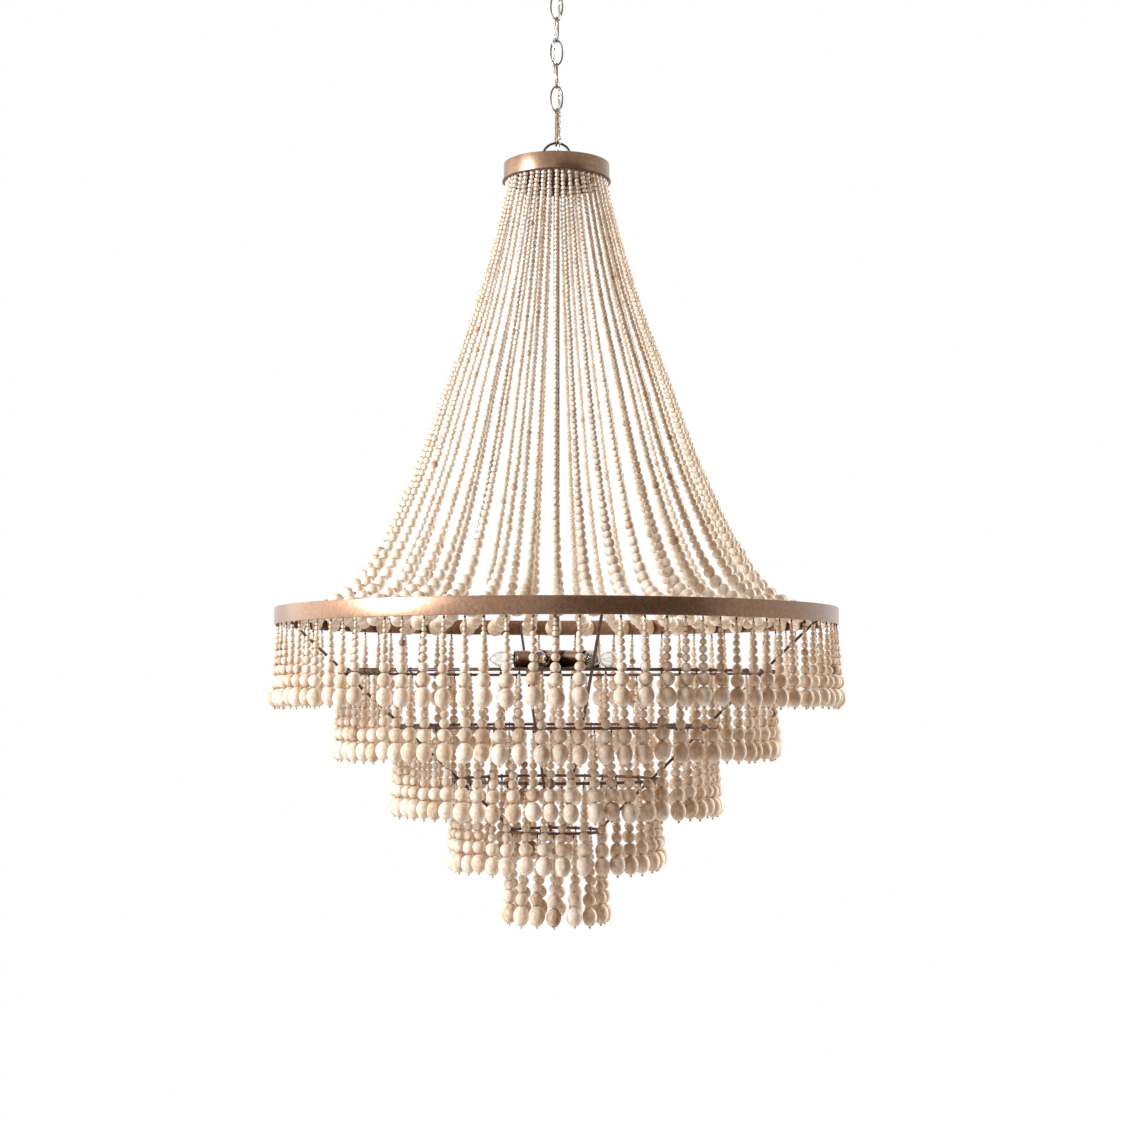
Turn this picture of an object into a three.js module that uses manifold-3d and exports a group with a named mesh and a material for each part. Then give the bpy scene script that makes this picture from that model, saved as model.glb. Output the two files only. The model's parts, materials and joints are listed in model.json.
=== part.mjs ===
// Beaded chandelier: a ceiling fitting, a link chain with its electric cord, a cap ring, bead swags
// that run out to a wide flat ring, and five rows of hanging bead strands in a stepped cone.
// Millimetres, +Z up. The origin is the middle of the ceiling strap's upper face.
import * as THREE from 'three';
import { mergeVertices } from 'three/addons/utils/BufferGeometryUtils.js';
import Module from 'manifold-3d';

const wasm = await Module();
wasm.setup();

// Clearances
const gap = 0.3;
const cutOverrun = 2;

// Ceiling fitting
const canopyRadius = 62;
const canopyHeight = 26;
const canopyRimHeight = 6;
const canopyFlatRadius = 32;
const canopyFlatRise = 2.5;
const canopyWall = 1.6;
const strapEndClearance = 8.4;
const strapLength = 2 * (canopyRadius - canopyWall - strapEndClearance);
const strapWidth = 20;
const strapThickness = 3;
const slotEndInset = 10;
const slotSpacing = strapLength - 2 * slotEndInset;
const slotLength = 10;
const slotWidth = 5;
const nippleRadius = 5;
const nippleBore = 3.2;
const collarRadius = 10;
const collarHeight = 12;
const canopyLoopWidth = 30;
const canopyLoopWire = 4;
const canopyLoopEndRise = 12;
const loopSink = 2.5;

// Chain
const linkCount = 6;
const linkLength = 44.8;
const linkWidth = 21.6;
const linkWire = 2.7;
const linkEndRise = 15;
const longLinkLength = 66;
const longLinkWidth = 22;
const longLinkEndRise = 10;
const longLinkWire = 3.6;

// Electric cord, threaded through the links
const cordRadius = 2.3;
const cordWeave = 5;
const cordCrossing = 3.8;
const cordStemEntry = 12;
const cordCanopyX = -15;
const cordCanopyY = 15;
const cordEndBelowCeiling = 9;
const cordHoleClearance = 1.2;

// Cap
const capRadius = 88;
const capHeight = 28;
const capWall = 3;
const capLoopHeight = 46.6;
const capLoopWidth = 50.6;
const capLoopWire = 4.6;
const capPlateDrop = 7.6;
const capPlateThickness = 3;

// Stem and its nuts
const stemRadius = 5;
const stemBore = 3.2;
const stemRise = 13;
const nutAcross = 17;
const nutHeight = 7;
const capCollarRadius = 6.4;
const capCollarHeight = 28;
const boreClearance = 0.35;

// Main ring, rows of strands and their rings
const mainRadius = 457.2;
const mainHeight = 27;
const mainWall = 3;
const capTopToMainTop = 739.4;
const ringWireRadius = 2.5;
const rowOneInset = 3.7;
const rowTwoRadiusShare = 0.77;
const rowThreeRadiusShare = 0.5665;
const rowFourRadiusShare = 0.362;
const rowFiveRadiusShare = 0.1673;
const rowTwoDrop = 75.5;
const rowThreeDrop = 87.4;
const rowFourDrop = 86.4;
const rowFiveDrop = 82.8;
const rowOneLength = 136;
const rowTwoLength = 141;
const rowThreeLength = 144;
const rowFourLength = 145.5;
const rowFiveLength = 149;
const ribCount = 4;
const ribRadius = 2.4;
const ribTurn = THREE.MathUtils.degToRad(-81.2);

// Bead strands: row wires, then the beads' radii from the top of a strand to its end
const hoopWidth = 4;
const hoopHeight = 2;
const hoopEndGap = 3;
const strandWireHalf = 1.5;
const smallBeadRadius = 6;
const smallBeadShare = 0.4;
const endBeadRadius = 12.5;
const endBeadStretch = 1.08;
const endPinLength = 4;
const endPinHalf = 1.5;

// Swags from the cap to the main ring
const swagCount = 48;
const swagGroups = 4;
const swagHoopWidth = 5.6;
const swagHangShare = 0.66;
const swagHoopRise = 3.4;
const swagTopBead = 3.4;
const swagTopBeadShare = 0.7;
const swagEndBead = 15.5;
const swagEndRise = 12.5;
// Share of the way out and share of the way down at each station, and the bead radius there as a share
const swagOutShares = [0.136, 0.293, 0.4245, 0.595, 0.721, 0.854, 1];
const swagDownShares = [0.262, 0.4845, 0.668, 0.85, 0.941, 0.983, 1];
const swagBeadShares = [0.24, 0.265, 0.33, 0.44, 0.58, 0.72, 1];
const swagTipReachShare = 0.8;
const swagTipShare = 0.4;

// Lights
const socketCount = 6;
const socketTurn = THREE.MathUtils.degToRad(10);
const socketRadius = 14;
const socketWall = 1.2;
const socketLength = 44;
const socketFloor = 3;
const hubFlat = 25;
const hubHeight = 29;
const bulbBaseRadius = 6;
const bulbBaseInset = 26;
const bulbNeckInset = 3;
const bulbRadius = 13.5;
const bulbLength = 42;
const bulbOutlineShares = [[0.94, 0.22], [1, 0.42], [0.72, 0.7], [0.2, 1], [0, 1]];
const crossBarHeight = 3;
const crossBarWidth = 6;
const crossPlateRadius = 97;
const crossBarRise = 3.5;
const finialRadius = 6;
const finialHeight = 20;
const finialOutlineShares = [[0, 1], [0.5, 1], [1, 0.6], [1.5, 0], [0, 0]];
const stemTail = 10;

// How finely curves are divided
const ringSteps = 64;
const ringStepShare = 0.75;
const capSteps = 48;
const wireSides = 5;
const linkSides = 6;
const linkSteps = 8;
const capLoopSteps = 14;
const turnedSteps = 12;
const collarSteps = 14;
const bulbSteps = 10;
const ribSides = 8;
const cordSteps = 46;
const cordHalfSides = 4;
const canopySteps = 24;
const weldDistance = 1e-4;

const UP = new THREE.Vector3(0, 0, 1);
const quarterTurn = Math.PI / 2;
const fullTurn = Math.PI * 2;

const tiers = [
  { radius: mainRadius - rowOneInset, drop: 0, length: rowOneLength, strands: 84, groups: 4 },
  {
    radius: mainRadius * rowTwoRadiusShare,
    drop: rowTwoDrop,
    length: rowTwoLength,
    strands: 72,
    groups: 4,
  },
  {
    radius: mainRadius * rowThreeRadiusShare,
    drop: rowThreeDrop,
    length: rowThreeLength,
    strands: 56,
    groups: 2,
  },
  {
    radius: mainRadius * rowFourRadiusShare,
    drop: rowFourDrop,
    length: rowFourLength,
    strands: 36,
    groups: 2,
  },
  {
    radius: mainRadius * rowFiveRadiusShare,
    drop: rowFiveDrop,
    length: rowFiveLength,
    strands: 16,
    groups: 1,
  },
];

// Heights worked out from the top down
const canopyBottomZ = -canopyHeight;
const canopyLoopBottomZ = canopyBottomZ - collarHeight + loopSink - canopyLoopWidth;
const linkPitch = linkLength - 2 * linkWire - gap;
const firstLinkTopZ = canopyLoopBottomZ + canopyLoopWire + gap + linkWire;
const lastLinkBottomZ = firstLinkTopZ - (linkCount - 1) * linkPitch - linkLength;
const longLinkTopZ = lastLinkBottomZ + linkWire + gap + longLinkWire;
const longLinkBottomZ = longLinkTopZ - longLinkLength;
const capLoopTopZ = longLinkBottomZ + longLinkWire + gap + capLoopWire;
const capPlateTopZ = capLoopTopZ - capLoopHeight;
const capTopZ = capPlateTopZ + capPlateDrop;
const capBottomZ = capTopZ - capHeight;
const stemTopZ = capPlateTopZ + stemRise;
const mainTopZ = capTopZ - capTopToMainTop;
const mainBottomZ = mainTopZ - mainHeight;

const ringZ = [mainBottomZ];
for (const tier of tiers.slice(1)) {
  ringZ.push(ringZ[ringZ.length - 1] - tier.drop);
}
const lastRing = tiers.length - 1;
const ribSlope =
  (tiers[1].radius - tiers[lastRing].radius) / (ringZ[1] - ringZ[lastRing]);
const ribLean = Math.sqrt(1 + ribSlope * ribSlope);
const ribOffset = (ringWireRadius + ribRadius + gap) * ribLean;
const ribRadiusAt = (z) => tiers[1].radius - ribOffset + (z - ringZ[1]) * ribSlope;

// A turned ring has flat facets, so its bore is a little narrower than its radius
const flatBore = (radius, steps) => radius * Math.cos(Math.PI / steps);
const capBore = flatBore(capRadius - capWall, capSteps) - gap;
const mainBore = flatBore(mainRadius - mainWall, ringSteps) - gap;

// Materials
const paint = (color, roughness, metalness) =>
  new THREE.MeshStandardMaterial({ color, roughness, metalness });
const bronze = { color: '#6b4a38', roughness: 0.45, metalness: 0.8 };
const brass = { color: '#a08a70', roughness: 0.4, metalness: 0.85 };
const wood = { color: '#eddcc6', roughness: 0.75, metalness: 0 };
const glass = { color: '#f4f2ee', roughness: 0.1, metalness: 0 };
const clear = { color: '#d8d6d0', roughness: 0.3, metalness: 0 };

const chandelier = new THREE.Group();

function add(name, geometry, look) {
  const mesh = new THREE.Mesh(geometry, paint(look.color, look.roughness, look.metalness));
  mesh.name = name;
  chandelier.add(mesh);
  return mesh;
}

// Boolean cuts and joins
function toSolid(geometry) {
  const bare = geometry.clone();
  bare.deleteAttribute('normal');
  bare.deleteAttribute('uv');
  const merged = mergeVertices(bare, weldDistance);
  return new wasm.Manifold(
    new wasm.Mesh({
      numProp: 3,
      vertProperties: new Float32Array(merged.attributes.position.array),
      triVerts: new Uint32Array(merged.index.array),
    }),
  );
}

function toGeometry(solid) {
  const mesh = solid.getMesh();
  const geometry = new THREE.BufferGeometry();
  geometry.setAttribute('position', new THREE.BufferAttribute(mesh.vertProperties, 3));
  geometry.setIndex(new THREE.BufferAttribute(mesh.triVerts, 1));
  geometry.computeVertexNormals();
  return geometry;
}

const join = (...shapes) => shapes.map(toSolid).reduce((a, b) => a.add(b));
const cut = (solid, ...tools) => tools.map(toSolid).reduce((a, b) => a.subtract(b), solid);

// Basic shapes standing along Z
function turned(profile, steps) {
  const points = profile.map(([radius, z]) => new THREE.Vector2(radius, z));
  return new THREE.LatheGeometry(points, steps).rotateX(quarterTurn);
}

function tubeAlongZ(outer, inner, topZ, bottomZ, steps) {
  return turned(
    [[inner, bottomZ], [outer, bottomZ], [outer, topZ], [inner, topZ], [inner, bottomZ]],
    steps,
  );
}

function rodAlongZ(radius, topZ, bottomZ, steps) {
  return new THREE.CylinderGeometry(radius, radius, topZ - bottomZ, steps)
    .rotateX(quarterTurn)
    .translate(0, 0, (topZ + bottomZ) / 2);
}

function boxAt(width, depth, height, x, y, z) {
  return new THREE.BoxGeometry(width, depth, height).translate(x, y, z);
}

function rodBetween(start, end, radius, steps) {
  const along = end.clone().sub(start);
  const length = along.length();
  const turn = new THREE.Quaternion().setFromUnitVectors(UP, along.normalize());
  return new THREE.CylinderGeometry(radius, radius, length, steps)
    .rotateX(quarterTurn)
    .applyQuaternion(turn)
    .translate((start.x + end.x) / 2, (start.y + end.y) / 2, (start.z + end.z) / 2);
}

// A closed solid from rings of points that follow each other; an open run of rings gets flat ends
function skinRings(rings, closed) {
  const sides = rings[0].length;
  const positions = rings.flat().flatMap((point) => [point.x, point.y, point.z]);
  const index = [];
  const bands = closed ? rings.length : rings.length - 1;
  for (let ring = 0; ring < bands; ring += 1) {
    const next = (ring + 1) % rings.length;
    for (let side = 0; side < sides; side += 1) {
      const a = ring * sides + side;
      const b = ring * sides + ((side + 1) % sides);
      const c = next * sides + ((side + 1) % sides);
      const d = next * sides + side;
      index.push(a, d, c, a, c, b);
    }
  }
  const last = (rings.length - 1) * sides;
  for (let side = 1; side < sides - 1 && !closed; side += 1) {
    index.push(0, side, side + 1);
    index.push(last, last + side + 1, last + side);
  }
  const geometry = new THREE.BufferGeometry();
  geometry.setAttribute('position', new THREE.Float32BufferAttribute(positions, 3));
  geometry.setIndex(index);
  geometry.computeVertexNormals();
  return geometry;
}

// A ring of points round a wire that lies in the XZ plane; out is the direction that faces outwards
function wireRing(x, z, out, radius) {
  const ring = [];
  for (let side = 0; side < linkSides; side += 1) {
    const spin = (side / linkSides) * fullTurn;
    const reach = radius * Math.cos(spin);
    ring.push(
      new THREE.Vector3(x + reach * out.x, radius * Math.sin(spin), z + reach * out.y),
    );
  }
  return ring;
}

// A closed link that stands on edge in the XZ plane from topZ down: two half ovals, endRise high,
// and straight sides between them
function ovalLink(length, width, wire, endRise, topZ) {
  const halfWidth = (width - wire) / 2;
  const straight = (length - wire) / 2 - endRise;
  const middleZ = topZ - length / 2;
  const rings = [];
  for (const end of [1, -1]) {
    for (let step = 0; step <= linkSteps; step += 1) {
      const turn = end * (end > 0 ? 1 - step / linkSteps : step / linkSteps) * Math.PI;
      const out = new THREE.Vector2(endRise * Math.cos(turn), halfWidth * Math.sin(turn));
      const x = halfWidth * Math.cos(turn);
      const z = middleZ + end * straight + endRise * Math.sin(turn);
      rings.push(wireRing(x, z, out.normalize(), wire / 2));
    }
  }
  return skinRings(rings, true);
}

// Ceiling strap, with a slot near each end for the ceiling box's screws
function buildStrap() {
  const strap = toSolid(
    boxAt(strapLength, strapWidth, strapThickness, 0, 0, -strapThickness / 2),
  );
  const slots = [-1, 1].map((end) =>
    boxAt(
      slotLength,
      slotWidth,
      strapThickness + 2 * cutOverrun,
      (end * slotSpacing) / 2,
      0,
      -strapThickness / 2,
    ),
  );
  add('ceiling_strap', toGeometry(cut(strap, ...slots)), brass);
}

function buildCanopy() {
  const holeRadius = nippleRadius + boreClearance;
  const flatZ = canopyBottomZ + canopyFlatRise;
  const rimZ = -canopyRimHeight;
  const shell = turned(
    [
      [holeRadius, canopyBottomZ],
      [collarRadius, canopyBottomZ],
      [canopyFlatRadius, flatZ],
      [canopyRadius, rimZ],
      [canopyRadius, -gap],
      [canopyRadius - canopyWall, -gap],
      [canopyRadius - canopyWall, rimZ],
      [canopyFlatRadius, flatZ + canopyWall],
      [holeRadius, canopyBottomZ + canopyWall],
      [holeRadius, canopyBottomZ],
    ],
    canopySteps,
  );
  const cordHole = rodAlongZ(
    cordRadius + cordHoleClearance,
    flatZ + canopyWall + cutOverrun,
    canopyBottomZ - cutOverrun,
    turnedSteps,
  ).translate(cordCanopyX, cordCanopyY, 0);
  add('ceiling_canopy', toGeometry(cut(toSolid(shell), cordHole)), bronze);
  add(
    'canopy_nipple',
    tubeAlongZ(
      nippleRadius,
      nippleBore,
      -strapThickness - gap,
      canopyBottomZ - collarHeight / 2,
      turnedSteps,
    ),
    brass,
  );
}

// Screw collar that holds the canopy up, with the loop that carries the chain
function buildCanopyLoop() {
  const topZ = canopyBottomZ - gap;
  const bottomZ = canopyBottomZ - collarHeight;
  const collar = rodAlongZ(collarRadius, topZ, bottomZ, collarSteps);
  const loop = ovalLink(
    canopyLoopWidth,
    canopyLoopWidth,
    canopyLoopWire,
    canopyLoopEndRise,
    canopyLoopBottomZ + canopyLoopWidth,
  );
  const threadTop = topZ + cutOverrun;
  const thread = rodAlongZ(
    nippleRadius + boreClearance,
    threadTop,
    canopyBottomZ - collarHeight / 2 - gap,
    turnedSteps,
  );
  add('canopy_loop', toGeometry(cut(join(collar, loop), thread)), bronze);
}

function buildChain() {
  for (let link = 0; link < linkCount; link += 1) {
    const topZ = firstLinkTopZ - link * linkPitch;
    const geometry = ovalLink(linkLength, linkWidth, linkWire, linkEndRise, topZ);
    const mesh = add(`chain_link_${link + 1}`, geometry, brass);
    mesh.rotation.z = link % 2 === 0 ? quarterTurn : 0;
  }
  const long = add(
    'long_link',
    ovalLink(longLinkLength, longLinkWidth, longLinkWire, longLinkEndRise, longLinkTopZ),
    bronze,
  );
  long.rotation.z = quarterTurn;
}

// The cord passes through each small link in turn, then runs down beside the long link
function buildCord() {
  const corners = [[-1, 1], [1, 1], [1, -1], [-1, -1]];
  const cornerAt = (joint) => corners[joint % corners.length];
  const place = (x, y, reach, z) => new THREE.Vector3(x * reach, y * reach, z);
  const points = [
    new THREE.Vector3(cordCanopyX, cordCanopyY, -cordEndBelowCeiling),
    new THREE.Vector3(cordCanopyX, cordCanopyY, canopyBottomZ - collarHeight / 2),
  ];
  const firstJointZ = firstLinkTopZ - linkWire - gap / 2;
  for (let joint = 0; joint < linkCount; joint += 1) {
    const [x, y] = cornerAt(joint);
    const [nextX, nextY] = cornerAt(joint + 1);
    const jointZ = firstJointZ - joint * linkPitch;
    points.push(place(x, y, cordWeave, jointZ));
    points.push(place((x + nextX) / 2, (y + nextY) / 2, cordCrossing, jointZ - linkPitch / 2));
  }
  const [lastX, lastY] = cornerAt(linkCount);
  points.push(place(lastX, lastY, cordWeave, firstJointZ - linkCount * linkPitch));
  points.push(place(lastX, lastY, cordWeave, (longLinkTopZ + longLinkBottomZ) / 2));
  points.push(place(lastX, lastY, cordWeave, capLoopTopZ));
  points.push(new THREE.Vector3(0, 0, stemTopZ + cordStemEntry / 2));
  points.push(new THREE.Vector3(0, 0, stemTopZ - cordStemEntry));
  const section = new THREE.Shape().absarc(0, 0, cordRadius, 0, fullTurn);
  const cord = new THREE.ExtrudeGeometry(section, {
    curveSegments: cordHalfSides,
    steps: cordSteps,
    bevelEnabled: false,
    extrudePath: new THREE.CatmullRomCurve3(points),
  });
  add('power_cord', cord, clear);
}

function buildCap() {
  add(
    'cap_ring',
    tubeAlongZ(capRadius, capRadius - capWall, capTopZ, capBottomZ, capSteps),
    bronze,
  );
  const plateBottomZ = capPlateTopZ - capPlateThickness;
  const plate = toSolid(rodAlongZ(capBore, capPlateTopZ, plateBottomZ, capSteps));
  const bore = rodAlongZ(
    stemRadius + boreClearance,
    capPlateTopZ + cutOverrun,
    plateBottomZ - cutOverrun,
    turnedSteps,
  );
  add('cap_plate', toGeometry(cut(plate, bore)), bronze);
}

// A rod bent into an upside-down U that stands on the plate
function buildCapLoop() {
  const arcRadius = (capLoopWidth - capLoopWire) / 2;
  const arcZ = capLoopTopZ - capLoopWire / 2 - arcRadius;
  const footZ = capPlateTopZ + gap;
  const foot = (side) =>
    wireRing(side * arcRadius, footZ, new THREE.Vector2(side, 0), capLoopWire / 2);
  const rings = [foot(-1)];
  for (let step = 0; step <= capLoopSteps; step += 1) {
    const turn = Math.PI - (step / capLoopSteps) * Math.PI;
    const out = new THREE.Vector2(Math.cos(turn), Math.sin(turn));
    const x = arcRadius * out.x;
    rings.push(wireRing(x, arcZ + arcRadius * out.y, out, capLoopWire / 2));
  }
  rings.push(foot(1));
  add('cap_loop', skinRings(rings, false), bronze);
}

// A six-sided block round the stem, with its flats at the given distance from the middle
function sixSided(flat, topZ, bottomZ) {
  const block = rodAlongZ(flat / Math.cos(Math.PI / socketCount), topZ, bottomZ, socketCount);
  const bore = rodAlongZ(
    stemRadius + boreClearance,
    topZ + cutOverrun,
    bottomZ - cutOverrun,
    turnedSteps,
  );
  return toGeometry(cut(toSolid(block), bore));
}

function buildStem() {
  const hubTopZ = ringZ[1] + crossBarRise + crossBarHeight + hubHeight;
  const bottomZ = hubTopZ - hubHeight - crossBarHeight - stemTail;
  add('centre_stem', tubeAlongZ(stemRadius, stemBore, stemTopZ, bottomZ, turnedSteps), bronze);
  const nutBottomZ = capPlateTopZ + gap;
  add('cap_nut', sixSided(nutAcross / 2, nutBottomZ + nutHeight, nutBottomZ), bronze);
  const collarTopZ = capPlateTopZ - capPlateThickness - gap;
  add(
    'cap_collar',
    tubeAlongZ(
      capCollarRadius,
      stemRadius + boreClearance,
      collarTopZ,
      collarTopZ - capCollarHeight,
      turnedSteps,
    ),
    bronze,
  );
}

function buildRings() {
  add(
    'main_ring',
    tubeAlongZ(mainRadius, mainRadius - mainWall, mainTopZ, mainBottomZ, ringSteps),
    bronze,
  );
  tiers.forEach((tier, place) => {
    if (place === 0) return;
    // A corner of the ring's polygon faces each rib
    const share = ringStepShare * Math.sqrt(tier.radius / mainRadius);
    const steps = ribCount * Math.round((ringSteps * share) / ribCount);
    const section = [];
    for (let side = 0; side <= wireSides; side += 1) {
      const spin = (side / wireSides) * fullTurn;
      section.push([
        tier.radius + ringWireRadius * Math.cos(spin),
        ringZ[place] + ringWireRadius * Math.sin(spin),
      ]);
    }
    section[wireSides] = section[0];
    const ring = add(`tier_ring_${place + 1}`, turned(section, steps), bronze);
    ring.rotation.z = ribTurn;
  });
}

// Straight rods run down inside the rings and tie them together
function buildRibs() {
  const topRadius = mainBore - 2 * ribRadius;
  const topZ = ringZ[1] + (topRadius - ribRadiusAt(ringZ[1])) / ribSlope;
  const bottomZ = ringZ[lastRing] - 2 * ringWireRadius;
  for (let rib = 0; rib < ribCount; rib += 1) {
    const turn = ribTurn + (rib / ribCount) * fullTurn;
    const at = (radius, z) =>
      new THREE.Vector3(radius * Math.cos(turn), radius * Math.sin(turn), z);
    const start = at(ribRadiusAt(bottomZ), bottomZ);
    add(`rib_${rib + 1}`, rodBetween(start, at(topRadius, topZ), ribRadius, ribSides), bronze);
  }
}

// Flat bars that cross under the lamp hub and reach out to the ribs
function buildCross() {
  const bottomZ = ringZ[1] + crossBarRise;
  const topZ = bottomZ + crossBarHeight;
  const middleZ = (topZ + bottomZ) / 2;
  const ribEdge = (ribRadius + gap) * ribLean;
  const reach = ribRadiusAt(bottomZ) - ribEdge;
  const bars = [0, 1].map((bar) =>
    boxAt(2 * reach, crossBarWidth, crossBarHeight, 0, 0, middleZ).rotateZ(
      ribTurn + bar * quarterTurn,
    ),
  );
  const plate = rodAlongZ(crossPlateRadius, topZ, bottomZ, capSteps);
  const bore = rodAlongZ(
    stemRadius + boreClearance,
    topZ + cutOverrun,
    bottomZ - cutOverrun,
    turnedSteps,
  );
  add('cross_bars', toGeometry(cut(join(...bars, plate), bore)), bronze);
}

function buildLights() {
  const hubBottomZ = ringZ[1] + crossBarRise + crossBarHeight + gap;
  const hubTopZ = hubBottomZ + hubHeight;
  const axisZ = (hubBottomZ + hubTopZ) / 2;
  const hub = add('lamp_hub', sixSided(hubFlat, hubTopZ, hubBottomZ), bronze);
  hub.rotation.z = socketTurn;
  const mouth = hubFlat + gap + socketLength;
  const inner = socketRadius - socketWall;
  const floor = hubFlat + gap + socketFloor;
  const cup = [
    [0, hubFlat + gap],
    [socketRadius, hubFlat + gap],
    [socketRadius, mouth],
    [inner, mouth],
    [inner, floor],
    [0, floor],
  ];
  const bulb = [
    [0, mouth - bulbBaseInset],
    [bulbBaseRadius, mouth - bulbBaseInset],
    [bulbBaseRadius, mouth - bulbNeckInset],
    ...bulbOutlineShares.map(([out, along]) => [bulbRadius * out, mouth + bulbLength * along]),
  ];
  for (let socket = 0; socket < socketCount; socket += 1) {
    const turn = socketTurn + (socket / socketCount) * fullTurn;
    const aim = (geometry) =>
      geometry.rotateY(quarterTurn).rotateZ(turn).translate(0, 0, axisZ);
    add(`socket_cup_${socket + 1}`, aim(turned(cup, turnedSteps)), bronze);
    add(`bulb_${socket + 1}`, aim(turned(bulb, bulbSteps)), glass);
  }
  const finialTopZ = ringZ[1] + crossBarRise - gap;
  const finial = turned(
    finialOutlineShares.map(([out, down]) => [
      finialRadius * out,
      finialTopZ - finialHeight * down,
    ]),
    turnedSteps,
  );
  const thread = rodAlongZ(
    stemRadius + boreClearance,
    finialTopZ + cutOverrun,
    ringZ[1] + crossBarRise - stemTail - gap,
    turnedSteps,
  );
  add('hub_finial', toGeometry(cut(toSolid(finial), thread)), bronze);
}

// A row of strands that hang from one row wire, as a single closed body. Each station is a square
// ring of points: its middle in the radial plane, its half width, and the direction of its outer point.
function strandRow({ startTurn, cellTurn, cells, whole, hoop, stations, endTurn }) {
  const positions = [];
  const index = [];
  const put = (radius, turn, z) => {
    positions.push(radius * Math.cos(turn), radius * Math.sin(turn), z);
    return positions.length / 3 - 1;
  };
  const quad = (a, b, c, d) => index.push(a, b, c, a, c, d);
  const bottomZ = hoop.topZ - hoop.height;
  const edges = [];
  for (let edge = 0; edge <= cells; edge += 1) {
    if (whole && edge === cells) {
      edges.push(edges[0]);
    } else {
      const trim = whole ? 0 : endTurn * ((edge === 0) - (edge === cells));
      const turn = startTurn + edge * cellTurn + trim;
      edges.push({
        lowIn: put(hoop.inner, turn, bottomZ),
        lowOut: put(hoop.outer, turn, bottomZ),
        highOut: put(hoop.outer, turn, hoop.topZ),
        highIn: put(hoop.inner, turn, hoop.topZ),
      });
    }
  }
  for (let cell = 0; cell < cells; cell += 1) {
    const start = edges[cell];
    const end = edges[cell + 1];
    quad(start.highIn, start.highOut, end.highOut, end.highIn);
    quad(start.highOut, start.lowOut, end.lowOut, end.highOut);
    quad(end.highIn, end.lowIn, start.lowIn, start.highIn);
    const turn = startTurn + (cell + 0.5) * cellTurn;
    const rings = stations.map(({ radius, z, half, outR, outZ }) => {
      const side = (sign) => {
        const x = radius * Math.cos(turn) - sign * half * Math.sin(turn);
        const y = radius * Math.sin(turn) + sign * half * Math.cos(turn);
        positions.push(x, y, z);
        return positions.length / 3 - 1;
      };
      return [
        put(radius + half * outR, turn, z + half * outZ),
        side(1),
        put(radius - half * outR, turn, z - half * outZ),
        side(-1),
      ];
    });
    const [outer, after, inner, before] = rings[0];
    index.push(start.lowIn, before, start.lowOut, start.lowOut, before, outer);
    index.push(start.lowOut, outer, end.lowOut, end.lowOut, outer, after);
    index.push(end.lowOut, after, end.lowIn, end.lowIn, after, inner);
    index.push(end.lowIn, inner, start.lowIn, start.lowIn, inner, before);
    for (let ring = 0; ring < rings.length - 1; ring += 1) {
      for (let side = 0; side < 4; side += 1) {
        const next = (side + 1) % 4;
        quad(rings[ring][side], rings[ring + 1][side], rings[ring + 1][next], rings[ring][next]);
      }
    }
    const tip = rings[rings.length - 1];
    quad(tip[0], tip[3], tip[2], tip[1]);
  }
  if (!whole) {
    const first = edges[0];
    const last = edges[cells];
    quad(first.highIn, first.lowIn, first.lowOut, first.highOut);
    quad(last.highOut, last.lowOut, last.lowIn, last.highIn);
  }
  const geometry = new THREE.BufferGeometry();
  geometry.setAttribute('position', new THREE.Float32BufferAttribute(positions, 3));
  geometry.setIndex(index);
  geometry.computeVertexNormals();
  return geometry;
}

function buildStrands() {
  tiers.forEach((tier, place) => {
    const edgeZ = place === 0 ? mainBottomZ : ringZ[place] - ringWireRadius;
    const topZ = edgeZ - gap;
    const hoop = {
      inner: tier.radius - hoopWidth / 2,
      outer: tier.radius + hoopWidth / 2,
      topZ,
      height: hoopHeight,
    };
    const endBeadHalf = endBeadRadius * endBeadStretch;
    const endBeadZ = topZ - tier.length + endPinLength + endBeadHalf;
    const level = (z, half) => ({ radius: tier.radius, z, half, outR: 1, outZ: 0 });
    const stations = [
      level(topZ - hoopHeight, strandWireHalf),
      level(topZ - tier.length * smallBeadShare, smallBeadRadius),
      level(endBeadZ, endBeadRadius),
      level(topZ - tier.length, endPinHalf),
    ];
    const cellTurn = fullTurn / tier.strands;
    const cells = tier.strands / tier.groups;
    for (let group = 0; group < tier.groups; group += 1) {
      const row = `tier_${place + 1}_strands`;
      const name = tier.groups > 1 ? `${row}_${group + 1}` : row;
      const geometry = strandRow({
        startTurn: ribTurn + group * cells * cellTurn,
        cellTurn,
        cells,
        whole: tier.groups === 1,
        hoop,
        stations,
        endTurn: hoopEndGap / 2 / tier.radius,
      });
      add(name, geometry, wood);
    }
  });
}

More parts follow.
